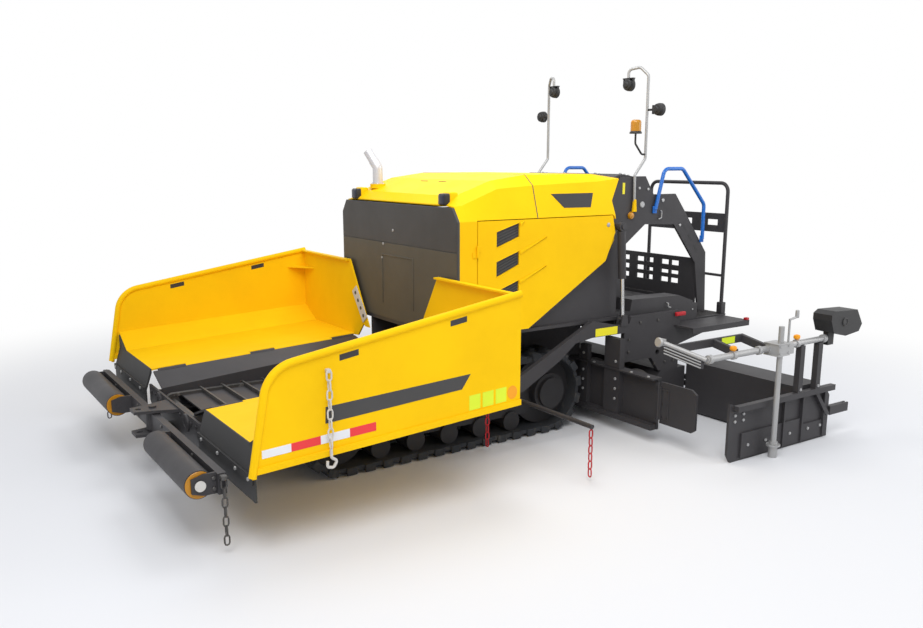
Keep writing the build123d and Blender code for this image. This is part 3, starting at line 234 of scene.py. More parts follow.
# %% [markdown]
# Each finish is a clean tone, the same tone dulled by dust, and how rough it is. Rubber and worn steel have
# flecks as well: how fine they are, how much of the surface stays clean, and their colour.

# %% Painted finishes
YELLOW = finish("yellow_enamel", (0.94, 0.575, 0.006), (0.88, 0.525, 0.006), 0.42, shine=0.05)
DARK = finish("dark_enamel", (0.047, 0.045, 0.048), (0.039, 0.037, 0.040), 0.46, peel=0.05, shine=0.28)
PANEL = finish("panel_grey", (0.064, 0.063, 0.063), (0.054, 0.053, 0.053), 0.5, peel=0.05, shine=0.28)
OLIVE = finish("panel_olive", (0.088, 0.078, 0.058), (0.074, 0.066, 0.05), 0.5, peel=0.05)
GREASED = finish("greased_frame", (0.026, 0.025, 0.027), (0.020, 0.019, 0.020), 0.5, peel=0.08, peel_scale=90,
                 shine=0.3)
SILVER = finish("silver_paint", (0.42, 0.42, 0.42), (0.35, 0.35, 0.35), 0.36, metallic=0.35, peel=0.05)
BLUE = finish("rail_blue", (0.006, 0.145, 0.56), (0.005, 0.12, 0.48), 0.3, coat=0.3)
RED = finish("chain_red", (0.52, 0.018, 0.028), (0.40, 0.014, 0.02), 0.45, peel=0.1)
WHITE = finish("chain_white", (0.66, 0.65, 0.62), (0.55, 0.53, 0.50), 0.45, peel=0.08)

# %% Metal and rubber
STEEL = finish("worn_steel", (0.115, 0.112, 0.11), (0.075, 0.07, 0.066), 0.42, metallic=0.7, peel=0.1,
               peel_scale=60, fleck=(22, 0.62, (0.2, 0.19, 0.18)))
CHROME = finish("rod_chrome", (0.62, 0.62, 0.62), (0.55, 0.55, 0.55), 0.16, metallic=1.0, peel=0.01,
                rough_spread=0.08)
STACK = finish("stack_steel", (0.60, 0.60, 0.63), (0.52, 0.52, 0.56), 0.34, metallic=0.5)
IRON = finish("engine_iron", (0.05, 0.05, 0.052), (0.04, 0.038, 0.037), 0.6, metallic=0.4, peel=0.2,
              peel_scale=80)
RUBBER = finish("track_rubber", (0.028, 0.031, 0.037), (0.035, 0.036, 0.038), 0.62, peel=0.25, peel_scale=90,
                fleck=(14, 0.60, (0.055, 0.054, 0.052)))
FLAP = finish("flap_rubber", (0.030, 0.030, 0.032), (0.04, 0.039, 0.038), 0.6, peel=0.2, peel_scale=120)

# %% Plastic, lenses and film
BLACK = finish("black_plastic", (0.022, 0.022, 0.023), (0.03, 0.03, 0.031), 0.45, peel=0.12, peel_scale=400)
ORANGE = finish("knob_orange", (0.90, 0.36, 0.01), (0.84, 0.32, 0.01), 0.4, peel=0.04)
LENS = finish("lamp_glass", (0.30, 0.31, 0.32), (0.26, 0.27, 0.28), 0.08, coat=0.6, peel=0.01,
              rough_spread=0.04)
NIGHT = finish("dark_lens", (0.020, 0.024, 0.045), (0.016, 0.018, 0.036), 0.16, peel=0.0)
AMBER = finish("amber_lens", (0.52, 0.225, 0.005), (0.46, 0.195, 0.005), 0.2, coat=0.3)
STICKER = finish("sticker_green", (0.72, 0.86, 0.03), (0.66, 0.80, 0.03), 0.4, peel=0.01)
LABEL = finish("label_yellow", (0.86, 0.76, 0.02), (0.80, 0.70, 0.02), 0.4, peel=0.01)
REFLECT_RED = finish("reflective_red", (0.80, 0.03, 0.035), (0.74, 0.025, 0.03), 0.3, coat=0.4, peel=0.05,
                     peel_scale=500)
REFLECT_WHITE = finish("reflective_white", (0.78, 0.79, 0.82), (0.72, 0.73, 0.77), 0.3, coat=0.4, peel=0.05,
                       peel_scale=500)

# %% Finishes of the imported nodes
CAD_FINISH = {
    "track": RUBBER, "track_frame": GREASED, "main_frame": DARK, "conveyor_tray": DARK,
    "conveyor_chain": STEEL, "hopper_wing": YELLOW, "wing_flap": FLAP, "wing_chain": WHITE,
    "push_beam": DARK, "push_roller": DARK, "beam_chains": STEEL, "marker_chains": RED,
    "wing_cylinder": SILVER, "wing_ram": CHROME, "engine_block": IRON, "hood": YELLOW,
    "hood_front_panel": PANEL, "hood_door": YELLOW, "exhaust_stack": CHROME, "platform": DARK,
    "station_arches": DARK, "console": DARK, "rear_guard": DARK, "rear_rail": DARK, "handrail": BLUE,
    "light_masts": SILVER, "work_lamps": BLACK, "beacon": AMBER, "auger_boards": DARK, "auger_leaf": DARK,
    "auger": STEEL, "tow_arms": DARK, "screed_main": DARK, "screed_extension": DARK, "end_plate": DARK,
    "grade_bar": SILVER, "control_box": BLACK, "lift_barrels": DARK, "lift_rams": CHROME,
}
for label, node in NODES.items():
    family = label.removesuffix("_left").removesuffix("_right")
    node.data.materials.clear()
    node.data.materials.append(CAD_FINISH[family])
print("families of nodes:", len(CAD_FINISH))

# %% [markdown]
# ## Tools for making pieces
# Almost everything on this machine is cut plate, bent tube, turned rod or a bolt. Five small helpers make
# those shapes with bmesh operators: a rounded block, a plate from its outline, a turned part spun from
# its profile, a bent tube that is extruded along its straight runs and spun round its corners, and a
# stamp that repeats a small mesh. Each finished piece then gets its material, and rides on its body.

# %% Finish a piece


def facing(place, ahead):
    """The matrix that puts a shape made along Z at a place, with Z along a direction."""
    return Matrix.Translation(place) @ Vector(ahead).to_track_quat("Z", "Y").to_matrix().to_4x4()


def as_mesh(bm, name="shape"):
    """A mesh with its faces outwards, from a bmesh that is then freed."""
    bmesh.ops.recalc_face_normals(bm, faces=bm.faces)
    mesh = bpy.data.meshes.new(name)
    bm.to_mesh(mesh)
    bm.free()
    return mesh


def piece(name, bm, material, body, hides=(), soft=30):
    """One finished object on its body, smooth where its faces meet at under an angle."""
    mesh = as_mesh(bm, name)
    mesh.materials.append(material)
    mesh.shade_smooth()
    mesh.set_sharp_from_angle(angle=radians(soft))
    made = bpy.data.objects.new(name, mesh)
    scene.collection.objects.link(made)
    if hides:
        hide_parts(*hides)
    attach(made, body)
    print(name, len(mesh.polygons), "faces")


# %% Blocks, plates and turned parts


def corners_of(made):
    """The vertices among what an operator made."""
    return [item for item in made if isinstance(item, bmesh.types.BMVert)]


def rounded(bm, edges, width, segments=2):
    """Bevel some edges."""
    bmesh.ops.bevel(bm, geom=list(edges), offset=width, segments=segments, profile=0.5, affect="EDGES",
                    material=-1)


def brick(bm, corner, opposite, edge=0.0, segments=2):
    """A block between two opposite corners, with its edges rounded."""
    verts = bmesh.ops.create_cube(bm, size=1)["verts"]
    low, high = (Vector([pick(pair) for pair in zip(corner, opposite)]) for pick in (min, max))
    bmesh.ops.scale(bm, vec=high - low, verts=verts)
    bmesh.ops.translate(bm, vec=(low + high) / 2, verts=verts)
    if edge:
        rounded(bm, {e for v in verts for e in v.link_edges}, edge, segments)


def plate(bm, outline, thickness, edge=0.0, segments=1):
    """A plate from the corners of one face and the vector of its thickness."""
    face = bm.faces.new([bm.verts.new(corner) for corner in outline])
    far = corners_of(bmesh.ops.extrude_face_region(bm, geom=[face])["geom"])
    bmesh.ops.translate(bm, vec=Vector(thickness), verts=far)
    if edge:
        rounded(bm, {e for v in (*far, *face.verts) for e in v.link_edges}, edge, segments)


# %% Turned parts, and copies of a small mesh


def turned(bm, profile, place, ahead, steps=24):
    """A turned part: pairs of radius and height, spun round the line through a place."""
    old = set(bm.verts)
    verts = [bm.verts.new((radius, 0, height)) for radius, height in profile]
    edges = [bm.edges.new(pair) for pair in zip(verts, verts[1:])]
    bmesh.ops.spin(bm, geom=verts + edges, cent=(0, 0, 0), axis=(0, 0, 1), dvec=(0, 0, 0), angle=2 * pi,
                   steps=steps, use_merge=True)
    made = [v for v in bm.verts if v not in old]
    bmesh.ops.transform(bm, matrix=facing(place, ahead), verts=made)
    bmesh.ops.remove_doubles(bm, verts=made, dist=0.00002)


def stamp(bm, mesh, place):
    """A copy of a small mesh at a place given as a matrix."""
    old = set(bm.verts)
    bm.from_mesh(mesh)
    bmesh.ops.transform(bm, matrix=place, verts=[v for v in bm.verts if v not in old])


# %% Bent tubes


def spun(bm, edges, centre, axis, angle, steps):
    """Spin a ring of edges round an axis. Returns the ring's new place."""
    made = bmesh.ops.spin(bm, geom=edges, cent=centre, axis=axis, dvec=(0, 0, 0), angle=angle, steps=steps)
    return [item for item in made["geom_last"] if isinstance(item, bmesh.types.BMEdge)]


def pushed(bm, edges, by):
    """Extrude a ring of edges by a vector. Returns the ring's new place."""
    made = bmesh.ops.extrude_edge_only(bm, edges=edges)["geom"]
    bmesh.ops.translate(bm, vec=by, verts=corners_of(made))
    return [item for item in made if isinstance(item, bmesh.types.BMEdge)
            and all(v in made for v in item.verts) and item not in edges]


def tube(bm, points, radius, bend=0.05, around=12, arc=5):
    """A round bar with closed ends along straight runs, with an arc at each corner."""
    stops = [Vector(point) for point in points]
    ahead = (stops[1] - stops[0]).normalized()
    ring = bmesh.ops.create_circle(bm, cap_ends=True, segments=around, radius=radius,
                                   matrix=facing(stops[0], ahead))["verts"]
    edges = list({e for v in ring for e in v.link_edges})
    at = stops[0]
    for before, corner, after in zip(stops, stops[1:], stops[2:]):
        into, out = (corner - before).normalized(), (after - corner).normalized()
        turn = into.angle(out)
        cut = bend * tan(turn / 2)
        edges = pushed(bm, edges, corner - into * cut - at)
        axis = into.cross(out).normalized()
        edges = spun(bm, edges, corner - into * cut + axis.cross(into) * bend, axis, turn, arc)
        at = corner + out * cut
    edges = pushed(bm, edges, stops[-1] - at)
    bmesh.ops.edgeloop_fill(bm, edges=edges)


# %% Bolts


def hexagon_bolt(radius, height):
    """The mesh of a bolt's head with its corners taken off, standing on Z = 0."""
    head = bmesh.new()
    bmesh.ops.create_cone(head, cap_ends=True, segments=6, radius1=radius, radius2=radius, depth=height,
                          matrix=Matrix.Translation((0, 0, height / 2)))
    top = [e for e in head.edges if all(v.co.z > height * 0.9 for v in e.verts)]
    rounded(head, top, radius * 0.18, 1)
    return as_mesh(head, "bolt")


BOLT = hexagon_bolt(0.012, 0.009)
SMALL_BOLT = hexagon_bolt(0.008, 0.006)
print("bolt", len(BOLT.polygons), "faces")

# %% [markdown]
# ## Tracks
# A rubber track is one endless band with two staggered rows of tapered pads. The band's cross-section is
# extruded along the lower run, spun round the idler, extruded back along the upper run and spun round the
# sprocket, exactly as the belt lies on its wheels. One pad is then modelled once and stamped along it.

# %% Where the belt runs
TRACK_Y, TRACK_W = 0.58, 0.30
SPROCKET = Vector((-0.52, 0, 0.33))
IDLER = Vector((1.27, 0, 0.28))
LUG, BELT = 0.025, 0.035            # height of a pad and thickness of the belt
slant = atan2(IDLER.z - SPROCKET.z, IDLER.x - SPROCKET.x)
UPPER = pi / 2 + 2 * slant          # direction in which the upper run faces
upper_out = Vector((cos(UPPER), 0, sin(UPPER)))
RUN = IDLER.x - SPROCKET.x
FRONT, REAR = IDLER.z - LUG, SPROCKET.z - LUG           # radii of the belt's outer face
FRONT_TURN, REAR_TURN = pi / 2 + UPPER, 1.5 * pi - UPPER
LENGTH = 2 * RUN + FRONT * FRONT_TURN + REAR * REAR_TURN


def on_track(distance):
    """Place and outward angle on the belt's outer face at a distance along it."""
    if distance < RUN:
        return Vector((SPROCKET.x + distance, 0, LUG)), -pi / 2
    distance -= RUN
    if distance < FRONT * FRONT_TURN:
        angle = distance / FRONT - pi / 2
        return IDLER + Vector((cos(angle), 0, sin(angle))) * FRONT, angle
    distance -= FRONT * FRONT_TURN
    if distance < RUN:
        share = distance / RUN
        return IDLER.lerp(SPROCKET, share) + upper_out * (FRONT + (REAR - FRONT) * share), UPPER
    angle = UPPER + (distance - RUN) / REAR
    return SPROCKET + Vector((cos(angle), 0, sin(angle))) * REAR, angle


print("belt", round(LENGTH, 3), "m round")

# %% Pad and shoulder
ROOT = 0.004                        # how deep a pad stands in the belt
pad = bmesh.new()
bmesh.ops.create_cube(pad, size=1)
bmesh.ops.scale(pad, vec=(0.076, 0.138, LUG + ROOT), verts=pad.verts)
bmesh.ops.translate(pad, vec=(0, 0, (LUG - ROOT) / 2), verts=pad.verts)
bmesh.ops.scale(pad, vec=(0.62, 0.93, 1), verts=[v for v in pad.verts if v.co.z > 0])
rounded(pad, [e for e in pad.edges if any(v.co.z > 0 for v in e.verts)], 0.005, 1)
PAD = as_mesh(pad, "pad")
shoulder = bmesh.new()
brick(shoulder, (-0.040, -0.007, -BELT), (0.040, 0.007, LUG * 0.8), 0.004, 1)
SHOULDER = as_mesh(shoulder, "shoulder")
print("pad", len(PAD.polygons), "shoulder", len(SHOULDER.polygons), "faces")

# %% Belts
PADS = 38
PAD_Y, SHOULDER_Y = 0.072, TRACK_W / 2 - 0.007
HALF, CHAMFER = TRACK_W / 2 - 0.012, (0.006, 0.004)
upper_run = SPROCKET + upper_out * SPROCKET.z - IDLER - upper_out * IDLER.z
for side, sign in SIDES:
    bm = bmesh.new()
    verts = [bm.verts.new((SPROCKET.x, sign * TRACK_Y + y, z)) for y, z in
             ((-HALF, LUG + CHAMFER[1]), (CHAMFER[0] - HALF, LUG), (HALF - CHAMFER[0], LUG),
              (HALF, LUG + CHAMFER[1]), (HALF, LUG + BELT), (-HALF, LUG + BELT))]
    edges = [bm.edges.new((verts[i - 1], verts[i])) for i in range(len(verts))]
    for wheel, angle, onward in ((IDLER, FRONT_TURN, Vector((RUN, 0, 0))), (SPROCKET, REAR_TURN, upper_run)):
        edges = spun(bm, pushed(bm, edges, onward), wheel, (0, -1, 0), angle, 28)
    bmesh.ops.remove_doubles(bm, verts=bm.verts, dist=0.0005)
    for way, shift in ((1, 0.0), (-1, 0.5)):
        for i in range(PADS):
            spot, angle = on_track((i + 0.25 + shift) * LENGTH / PADS % LENGTH)
            turn = Matrix.Rotation(pi / 2 - angle, 4, "Y")
            for mesh, y in ((PAD, PAD_Y), (SHOULDER, SHOULDER_Y)):
                spot.y = sign * TRACK_Y + way * y
                stamp(bm, mesh, Matrix.Translation(spot) @ turn)
    piece(f"rubber_track_{side}", bm, RUBBER, "chassis", (f"track_{side}",), soft=40)

# %% [markdown]
# ## Chains
# A chain link is a bent bar, so it is a ring of six edges that is extruded along one side, spun round
# one end, extruded back and spun round the other. A six-sided bar is enough at this size. Every other
# link is turned a quarter round the chain.

# %% A link and a hanging chain
LINK_LONG, LINK_WIDE, LINK_BAR = 0.068, 0.038, 0.010
LINK_PITCH = 0.054


def chain_link(long, wide, bar):
    """The mesh of one link in the XZ plane, long in Z, from four runs of a six-sided bar."""
    link = bmesh.new()
    half, reach = (long - wide) / 2, (wide - bar) / 2
    bmesh.ops.create_circle(link, segments=6, radius=bar / 2, matrix=Matrix.Translation((reach, 0, -half)))
    edges = link.edges[:]
    for way in (1, -1):
        edges = pushed(link, edges, Vector((0, 0, way * 2 * half)))
        edges = spun(link, edges, (0, 0, way * half), (0, -1, 0), pi, 4)
    bmesh.ops.remove_doubles(link, verts=link.verts, dist=0.0002)
    return as_mesh(link, "link")


def hang(bm, x, y, top, low):
    """As many links as fit between two heights, down from the upper one. Returns the chain's foot."""
    count = int((top - low) / LINK_PITCH)
    for i in range(count):
        turn = Matrix.Rotation(0 if i % 2 == 0 else pi / 2, 4, "Z")
        stamp(bm, LINK, Matrix.Translation((x, y, top - LINK_LONG / 2 - i * LINK_PITCH)) @ turn)
    return top - LINK_LONG - (count - 1) * LINK_PITCH


LINK = chain_link(LINK_LONG, LINK_WIDE, LINK_BAR)
print("link", len(LINK.polygons), "faces")

# %% Marker chains and chains of the push beam
bm = bmesh.new()
for sign in (1, -1):
    hang(bm, -0.060, sign * 1.708, 0.3687, 0.020)
    hang(bm, 0.200, sign * 0.896, 0.3997, 0.060)
piece("red_marker_chains", bm, RED, "chassis", ("marker_chains",))
BEAM_CHAIN_X, BEAM_CHAIN_Y = 2.307, 1.422
bm = bmesh.new()
for sign in (1, -1):
    y = sign * BEAM_CHAIN_Y
    brick(bm, (BEAM_CHAIN_X - 0.017, y - 0.022, 0.430), (BEAM_CHAIN_X + 0.018, y + 0.022, 0.455), 0.004)
    hang(bm, BEAM_CHAIN_X, y, 0.440, 0.040)
piece("push_beam_chains", bm, STEEL, "push_beam", ("beam_chains",))

# %% White chains that lock the wings, each with its lug and forged hook
WALL = 1.624                        # outer face of the wings' side walls
LOCK_X, LOCK_Y, LOCK_TOP = 1.78, 1.650, 1.010
HOOK = ((0.0, 0.004), (0.0, -0.048), (-0.034, -0.070), (-0.010, -0.106), (0.026, -0.098), (0.024, -0.064))
for side, sign in SIDES:
    bm = bmesh.new()
    y = sign * LOCK_Y
    foot = hang(bm, LOCK_X, y, LOCK_TOP, 0.560)
    brick(bm, (LOCK_X - 0.012, sign * WALL, LOCK_TOP - 0.020),
          (LOCK_X + 0.012, sign * (WALL + 0.030), LOCK_TOP + 0.002), 0.003)
    tube(bm, [(LOCK_X + x, y, foot + z) for x, z in HOOK], 0.0085, 0.014, 8, 4)
    piece(f"white_wing_chain_{side}", bm, WHITE, f"wing_{side}", (f"wing_chain_{side}",))

# %% [markdown]
# ## Rails and masts
# The grab rails, the rear rail and the lamp masts are drawn tube, bent cold round a former. A bent tube
# keeps its diameter round the bend, so a ring of edges spun round the former's centre is just right.

# %% Grab rails, with flattened ends bolted to the arch plates
ARCH_Y, TUBE_R = 0.61, 0.016
GRAB_RAIL = ((-1.700, 1.700), (-1.789, 2.034), (-2.007, 2.034), (-2.295, 1.729), (-2.296, 1.429))
for side, sign in SIDES:
    y = sign * (ARCH_Y + TUBE_R)
    bm = bmesh.new()
    tube(bm, [(x, y, z) for x, z in GRAB_RAIL], TUBE_R, 0.06, 16, 6)
    for x, z in (GRAB_RAIL[0], GRAB_RAIL[-1]):
        brick(bm, (x - 0.022, y, z - 0.03), (x + 0.022, y - sign * 0.014, z + 0.03), 0.004)
        stamp(bm, SMALL_BOLT, facing((x, y, z - 0.012), (0, sign, 0)))
    piece(f"blue_grab_rail_{side}", bm, BLUE, "chassis", (f"handrail_{side}",))

# %% Rear rail
RAIL_X, RAIL_TOP, RAIL_Y, STEP_Z = -2.425, 1.910, (-0.126, 0.770), 0.776
bm = bmesh.new()
tube(bm, ((RAIL_X, RAIL_Y[1], STEP_Z + 0.09), (RAIL_X, RAIL_Y[1], RAIL_TOP), (RAIL_X, RAIL_Y[0], RAIL_TOP),
          (RAIL_X, RAIL_Y[0], STEP_Z + 0.09)), TUBE_R, 0.075, 16, 7)
tube(bm, ((RAIL_X, RAIL_Y[0], 1.110), (RAIL_X, RAIL_Y[1], 1.110)), 0.012)
for y in RAIL_Y:
    brick(bm, (RAIL_X - 0.028, y - 0.028, STEP_Z), (RAIL_X + 0.028, y + 0.028, STEP_Z + 0.100), 0.005)
    stamp(bm, SMALL_BOLT, facing((RAIL_X + 0.028, y, STEP_Z + 0.075), (1, 0, 0)))
# the board between the posts is made of strips round its three slots
BOARD_Z, SLOT_Z, SLOT_Y = (1.486, 1.650), (1.545, 1.595), (-0.02, 0.09, 0.28, 0.39, 0.57, 0.68)
strips = [(RAIL_Y, (BOARD_Z[0], SLOT_Z[0])), (RAIL_Y, (SLOT_Z[1], BOARD_Z[1]))]
strips += [(ends, (SLOT_Z[0] - 0.002, SLOT_Z[1] + 0.002))
           for ends in zip((RAIL_Y[0], *SLOT_Y[1::2]), (*SLOT_Y[::2], RAIL_Y[1]))]
for (low_y, high_y), (low_z, high_z) in strips:
    brick(bm, (RAIL_X - 0.004, low_y, low_z), (RAIL_X + 0.004, high_y, high_z), 0.001, 1)
piece("rear_rail_tube", bm, DARK, "chassis", ("rear_rail",))

# %% Lamp masts and their feet
MAST_X, MAST_R = -1.561, 0.012
LAMP_TOP, TOP_LAMP_X, TOP_LAMP_Y = 2.752, -1.490, 0.470
bm, feet = bmesh.new(), bmesh.new()
for sign in (1, -1):
    y = sign * (ARCH_Y + MAST_R + 0.0003)
    tube(bm, ((-1.458, y, 1.700), (-1.450, y, 1.985), (MAST_X, y, 2.116), (MAST_X, y, LAMP_TOP + 0.018),
              (-1.530, sign * 0.560, LAMP_TOP + 0.083), (TOP_LAMP_X, sign * TOP_LAMP_Y, LAMP_TOP + 0.068),
              (TOP_LAMP_X, sign * TOP_LAMP_Y, LAMP_TOP)), MAST_R, 0.035)
    y = sign * (ARCH_Y + 0.006)
    plate(feet, ((-1.478, y, 1.690), (-1.436, y, 1.690), (-1.446, y, 1.790), (-1.468, y, 1.790)),
          (0, sign * 0.02, 0), 0.002)
piece("silver_lamp_masts", bm, SILVER, "chassis", ("light_masts",))
piece("mast_feet", feet, YELLOW, "chassis")

# %% [markdown]
# ## Lamps and beacon
# A round working lamp is a turned housing with ribs for cooling, a bezel and a clear lens, held in a small
# fork. The profile of the housing is spun once round its axis. The lenses look to the rear, over the mat
# that the machine lays.

# %% Working lamps
HOUSING = ((0.0, 0.0), (0.018, 0.0), (0.024, 0.008), (0.040, 0.012), (0.044, 0.018), (0.040, 0.021),
           (0.046, 0.025), (0.046, 0.030), (0.042, 0.033), (0.049, 0.038), (0.050, 0.060), (0.050, 0.066),
           (0.046, 0.070), (0.043, 0.069), (0.042, 0.062), (0.0, 0.060))
GLASS = ((0.0, 0.066), (0.022, 0.066), (0.0415, 0.063), (0.0415, 0.0605), (0.0, 0.0605))
SIDE_LAMP_Y, SIDE_LAMP_Z = 0.735, 2.500
FORK_X, FORK_TOP = TOP_LAMP_X - 0.005, LAMP_TOP - 0.0003
lamps, glass = bmesh.new(), bmesh.new()
for sign in (1, -1):
    for spot in ((-1.455, sign * TOP_LAMP_Y, LAMP_TOP - 0.0503), (-1.535, sign * SIDE_LAMP_Y, SIDE_LAMP_Z)):
        turned(lamps, HOUSING, spot, (-1, 0, 0))
        turned(glass, GLASS, spot, (-1, 0, 0))
    # the fork that hangs from the mast's end
    y = sign * TOP_LAMP_Y
    brick(lamps, (FORK_X - 0.017, y - 0.056, FORK_TOP - 0.004),
          (FORK_X + 0.017, y + 0.056, FORK_TOP + 0.004), 0.001, 1)
    for way in (-1, 1):
        y = sign * TOP_LAMP_Y + way * 0.054
        brick(lamps, (FORK_X - 0.010, y - 0.003, FORK_TOP - 0.062),
              (FORK_X + 0.010, y + 0.003, FORK_TOP + 0.002), 0.001, 1)
        stamp(lamps, SMALL_BOLT, facing((FORK_X, y, FORK_TOP - 0.050), (0, way, 0)))
    # the arm of the lower lamp, out from the mast's side
    inner = ARCH_Y + 2 * MAST_R + 0.0006
    tube(lamps, ((MAST_X, sign * inner, SIDE_LAMP_Z), (MAST_X, sign * 0.690, SIDE_LAMP_Z)), 0.009)
    brick(lamps, (MAST_X - 0.010, sign * 0.682, SIDE_LAMP_Z - 0.035),
          (MAST_X + 0.010, sign * 0.694, SIDE_LAMP_Z + 0.035), 0.002, 1)
print("round lamps", len(lamps.faces), "faces")

# %% [markdown]
# Square lamps stand on the hood's front slope. Each is a black block with a dark glass, under a yellow brow
# that hides its rear. Blocks with well rounded edges are enough, and their housings join the round ones.

# %% Square lamps, and the pieces of all lamps
SQUARE_LAMP_Y = 0.663
brow, night = bmesh.new(), bmesh.new()
for sign in (1, -1):
    y = sign * SQUARE_LAMP_Y
    brick(brow, (0.330, y - 0.052, 1.790), (0.396, y + 0.052, 1.887), 0.012, 3)
    brick(lamps, (0.352, y - 0.045, 1.795), (0.437, y + 0.045, 1.878), 0.014, 3)
    brick(night, (0.430, y - 0.035, 1.804), (0.441, y + 0.035, 1.869), 0.004)
piece("working_lamps", lamps, BLACK, "chassis", ("work_lamps",))
piece("lamp_lenses", glass, LENS, "chassis")
piece("front_lenses", night, NIGHT, "chassis")
piece("lamp_brows", brow, YELLOW, "chassis")

# %% [markdown]
# The beacon is an amber dome on a wide black foot, at the end of a bent tube. Rings are moulded into the
# dome, so that it scatters its light: the profile goes in and out five times before it closes.

# %% Beacon
BEACON_X, BEACON_Y, BEACON_Z = -1.440, ARCH_Y + 0.014, 2.312
RINGS, RING_PITCH = 5, 0.014
beacon = (BEACON_X, BEACON_Y, BEACON_Z)
bm = bmesh.new()
turned(bm, ((0.0, 0.0), (0.048, 0.0), (0.050, 0.005), (0.048, 0.014), (0.042, 0.019), (0.040, 0.022),
            (0.0, 0.022)), beacon, (0, 0, 1), 28)
tube(bm, ((MAST_X + 0.0123, BEACON_Y, 2.150), (MAST_X + 0.045, BEACON_Y, 2.150), (BEACON_X, BEACON_Y, 2.235),
          (BEACON_X, BEACON_Y, BEACON_Z + 0.002)), 0.008, 0.03, 10)
piece("beacon_foot", bm, BLACK, "chassis", ("beacon",))
bm = bmesh.new()
dome = [(0.0, 0.019), (0.041, 0.019)]
for ring in range(RINGS):
    dome += [(0.041, 0.021 + ring * RING_PITCH), (0.043, 0.028 + ring * RING_PITCH)]
dome += [(0.041, 0.091), (0.038, 0.102), (0.028, 0.109), (0.0, 0.110)]
turned(bm, dome, beacon, (0, 0, 1), 32)
piece("beacon_dome", bm, AMBER, "chassis", soft=50)

# %% [markdown]
# ## Exhaust
# The stack is a pale steel tube in a bolted collar, and its cut end is hollow. Its tip is bent forwards and
# away from the operator. The hollow end is an inset of the end face that is then pushed down the tube.

# %% Exhaust stack
PIPE = Vector((0.270, -0.560, 1.9153))
PIPE_R = 0.040
bm = bmesh.new()
tube(bm, (PIPE, PIPE + Vector((0, 0, 0.132)), PIPE + Vector((0.020, -0.032, 0.186))), PIPE_R, 0.04, 24, 8)
tip = [f for f in bm.faces if len(f.verts) > 4 and f.calc_center_median().z > PIPE.z + 0.1]
bmesh.ops.inset_region(bm, faces=tip, thickness=0.003)
bmesh.ops.inset_region(bm, faces=tip, thickness=0.0005, depth=-0.09)
for angle in range(0, 360, 60):
    around = Vector((cos(radians(angle)), sin(radians(angle)), 0)) * (PIPE_R + 0.01)
    stamp(bm, SMALL_BOLT, Matrix.Translation(PIPE + around - Vector((0, 0, 0.0003))))
turned(bm, ((PIPE_R + 0.0005, 0), (PIPE_R + 0.006, 0), (PIPE_R + 0.006, 0.012), (PIPE_R + 0.0005, 0.012)),
       PIPE, (0, 0, 1))
piece("exhaust_tube", bm, STACK, "chassis", ("exhaust_stack",))

# %% [markdown]
# ## Augers
# A flight is pressed from flat bar into a helix. Spinning the bar's cross-section round the shaft while it
# moves along it gives that surface at once. The left and right augers are wound opposite ways, so that
# both carry the mix outwards.

# %% Auger flights
AUGER = Vector((-1.270, 0, 0.300))
AUGER_Y, AUGER_R, TURNS, STEPS = (0.075, 1.090), 0.150, 4, 28
for side, sign in SIDES:
    bm = bmesh.new()
    start, run = sign * (AUGER_Y[0] + 0.020), sign * (AUGER_Y[1] - AUGER_Y[0] - 0.040)
    section = ((0.026, -0.006), (AUGER_R - 0.001, -0.003), (AUGER_R - 0.001, 0.003), (0.026, 0.006))
    bar = bm.faces.new([bm.verts.new((AUGER.x + r, start + y, AUGER.z)) for r, y in section])
    bmesh.ops.spin(bm, geom=[bar], cent=AUGER, axis=(0, -1, 0), dvec=(0, run / (TURNS * STEPS), 0),
                   angle=2 * pi * TURNS * sign, steps=TURNS * STEPS)
    # the shaft, and a collar on each turn
    inner = AUGER_Y[0] - 0.010
    shaft = AUGER_Y[1] - inner
    turned(bm, ((0.0, 0.0), (0.027, 0.0), (0.030, 0.003), (0.030, shaft - 0.003), (0.027, shaft),
                (0.0, shaft)), (AUGER.x, sign * inner, AUGER.z), (0, sign, 0))
    for turn in range(TURNS):
        turned(bm, ((0.030, 0), (0.037, 0.002), (0.037, 0.028), (0.030, 0.030)),
               (AUGER.x, start + sign * (0.1 + turn * 0.24), AUGER.z), (0, sign, 0), 20)
    piece(f"auger_flight_{side}", bm, STEEL, f"auger_{side}", (f"auger_{side}",), soft=35)

# %% [markdown]
# ## Markings on the hopper
# The wings carry a reflective stripe, a bare dark band and a row of small blank stickers. Film on metal is
# thin, but it has an edge, so each one is a plate a millimetre and a half thick that lies on the wall.

# %% Reflective stripe
FILM = 0.0015
STRIPE_X = (2.163, 1.999, 1.829, 1.653, 1.489)
STRIPE_FOOT, STRIPE_HEAD = (0.575, 0.612), (0.620, 0.663)       # heights at the stripe's front and rear end


def film(bm, outline, edge=0.0005):
    """A thin sheet on the left wing's wall, from corners in x and z."""
    plate(bm, [(x, WALL, z) for x, z in outline], (0, FILM, 0), edge)


def stripe_end(x):
    """The two corners of the stripe at a place along the wing, the lower one first."""
    share = (STRIPE_X[0] - x) / (STRIPE_X[0] - STRIPE_X[-1])
    return [(x, front + share * (rear - front)) for front, rear in (STRIPE_FOOT, STRIPE_HEAD)]


red, pale = bmesh.new(), bmesh.new()
for i, (front, rear) in enumerate(zip(STRIPE_X, STRIPE_X[1:])):
    film(red if i % 2 else pale, stripe_end(front) + stripe_end(rear)[::-1])
piece("stripe_red", red, REFLECT_RED, "wing_left")
piece("stripe_white", pale, REFLECT_WHITE, "wing_left")

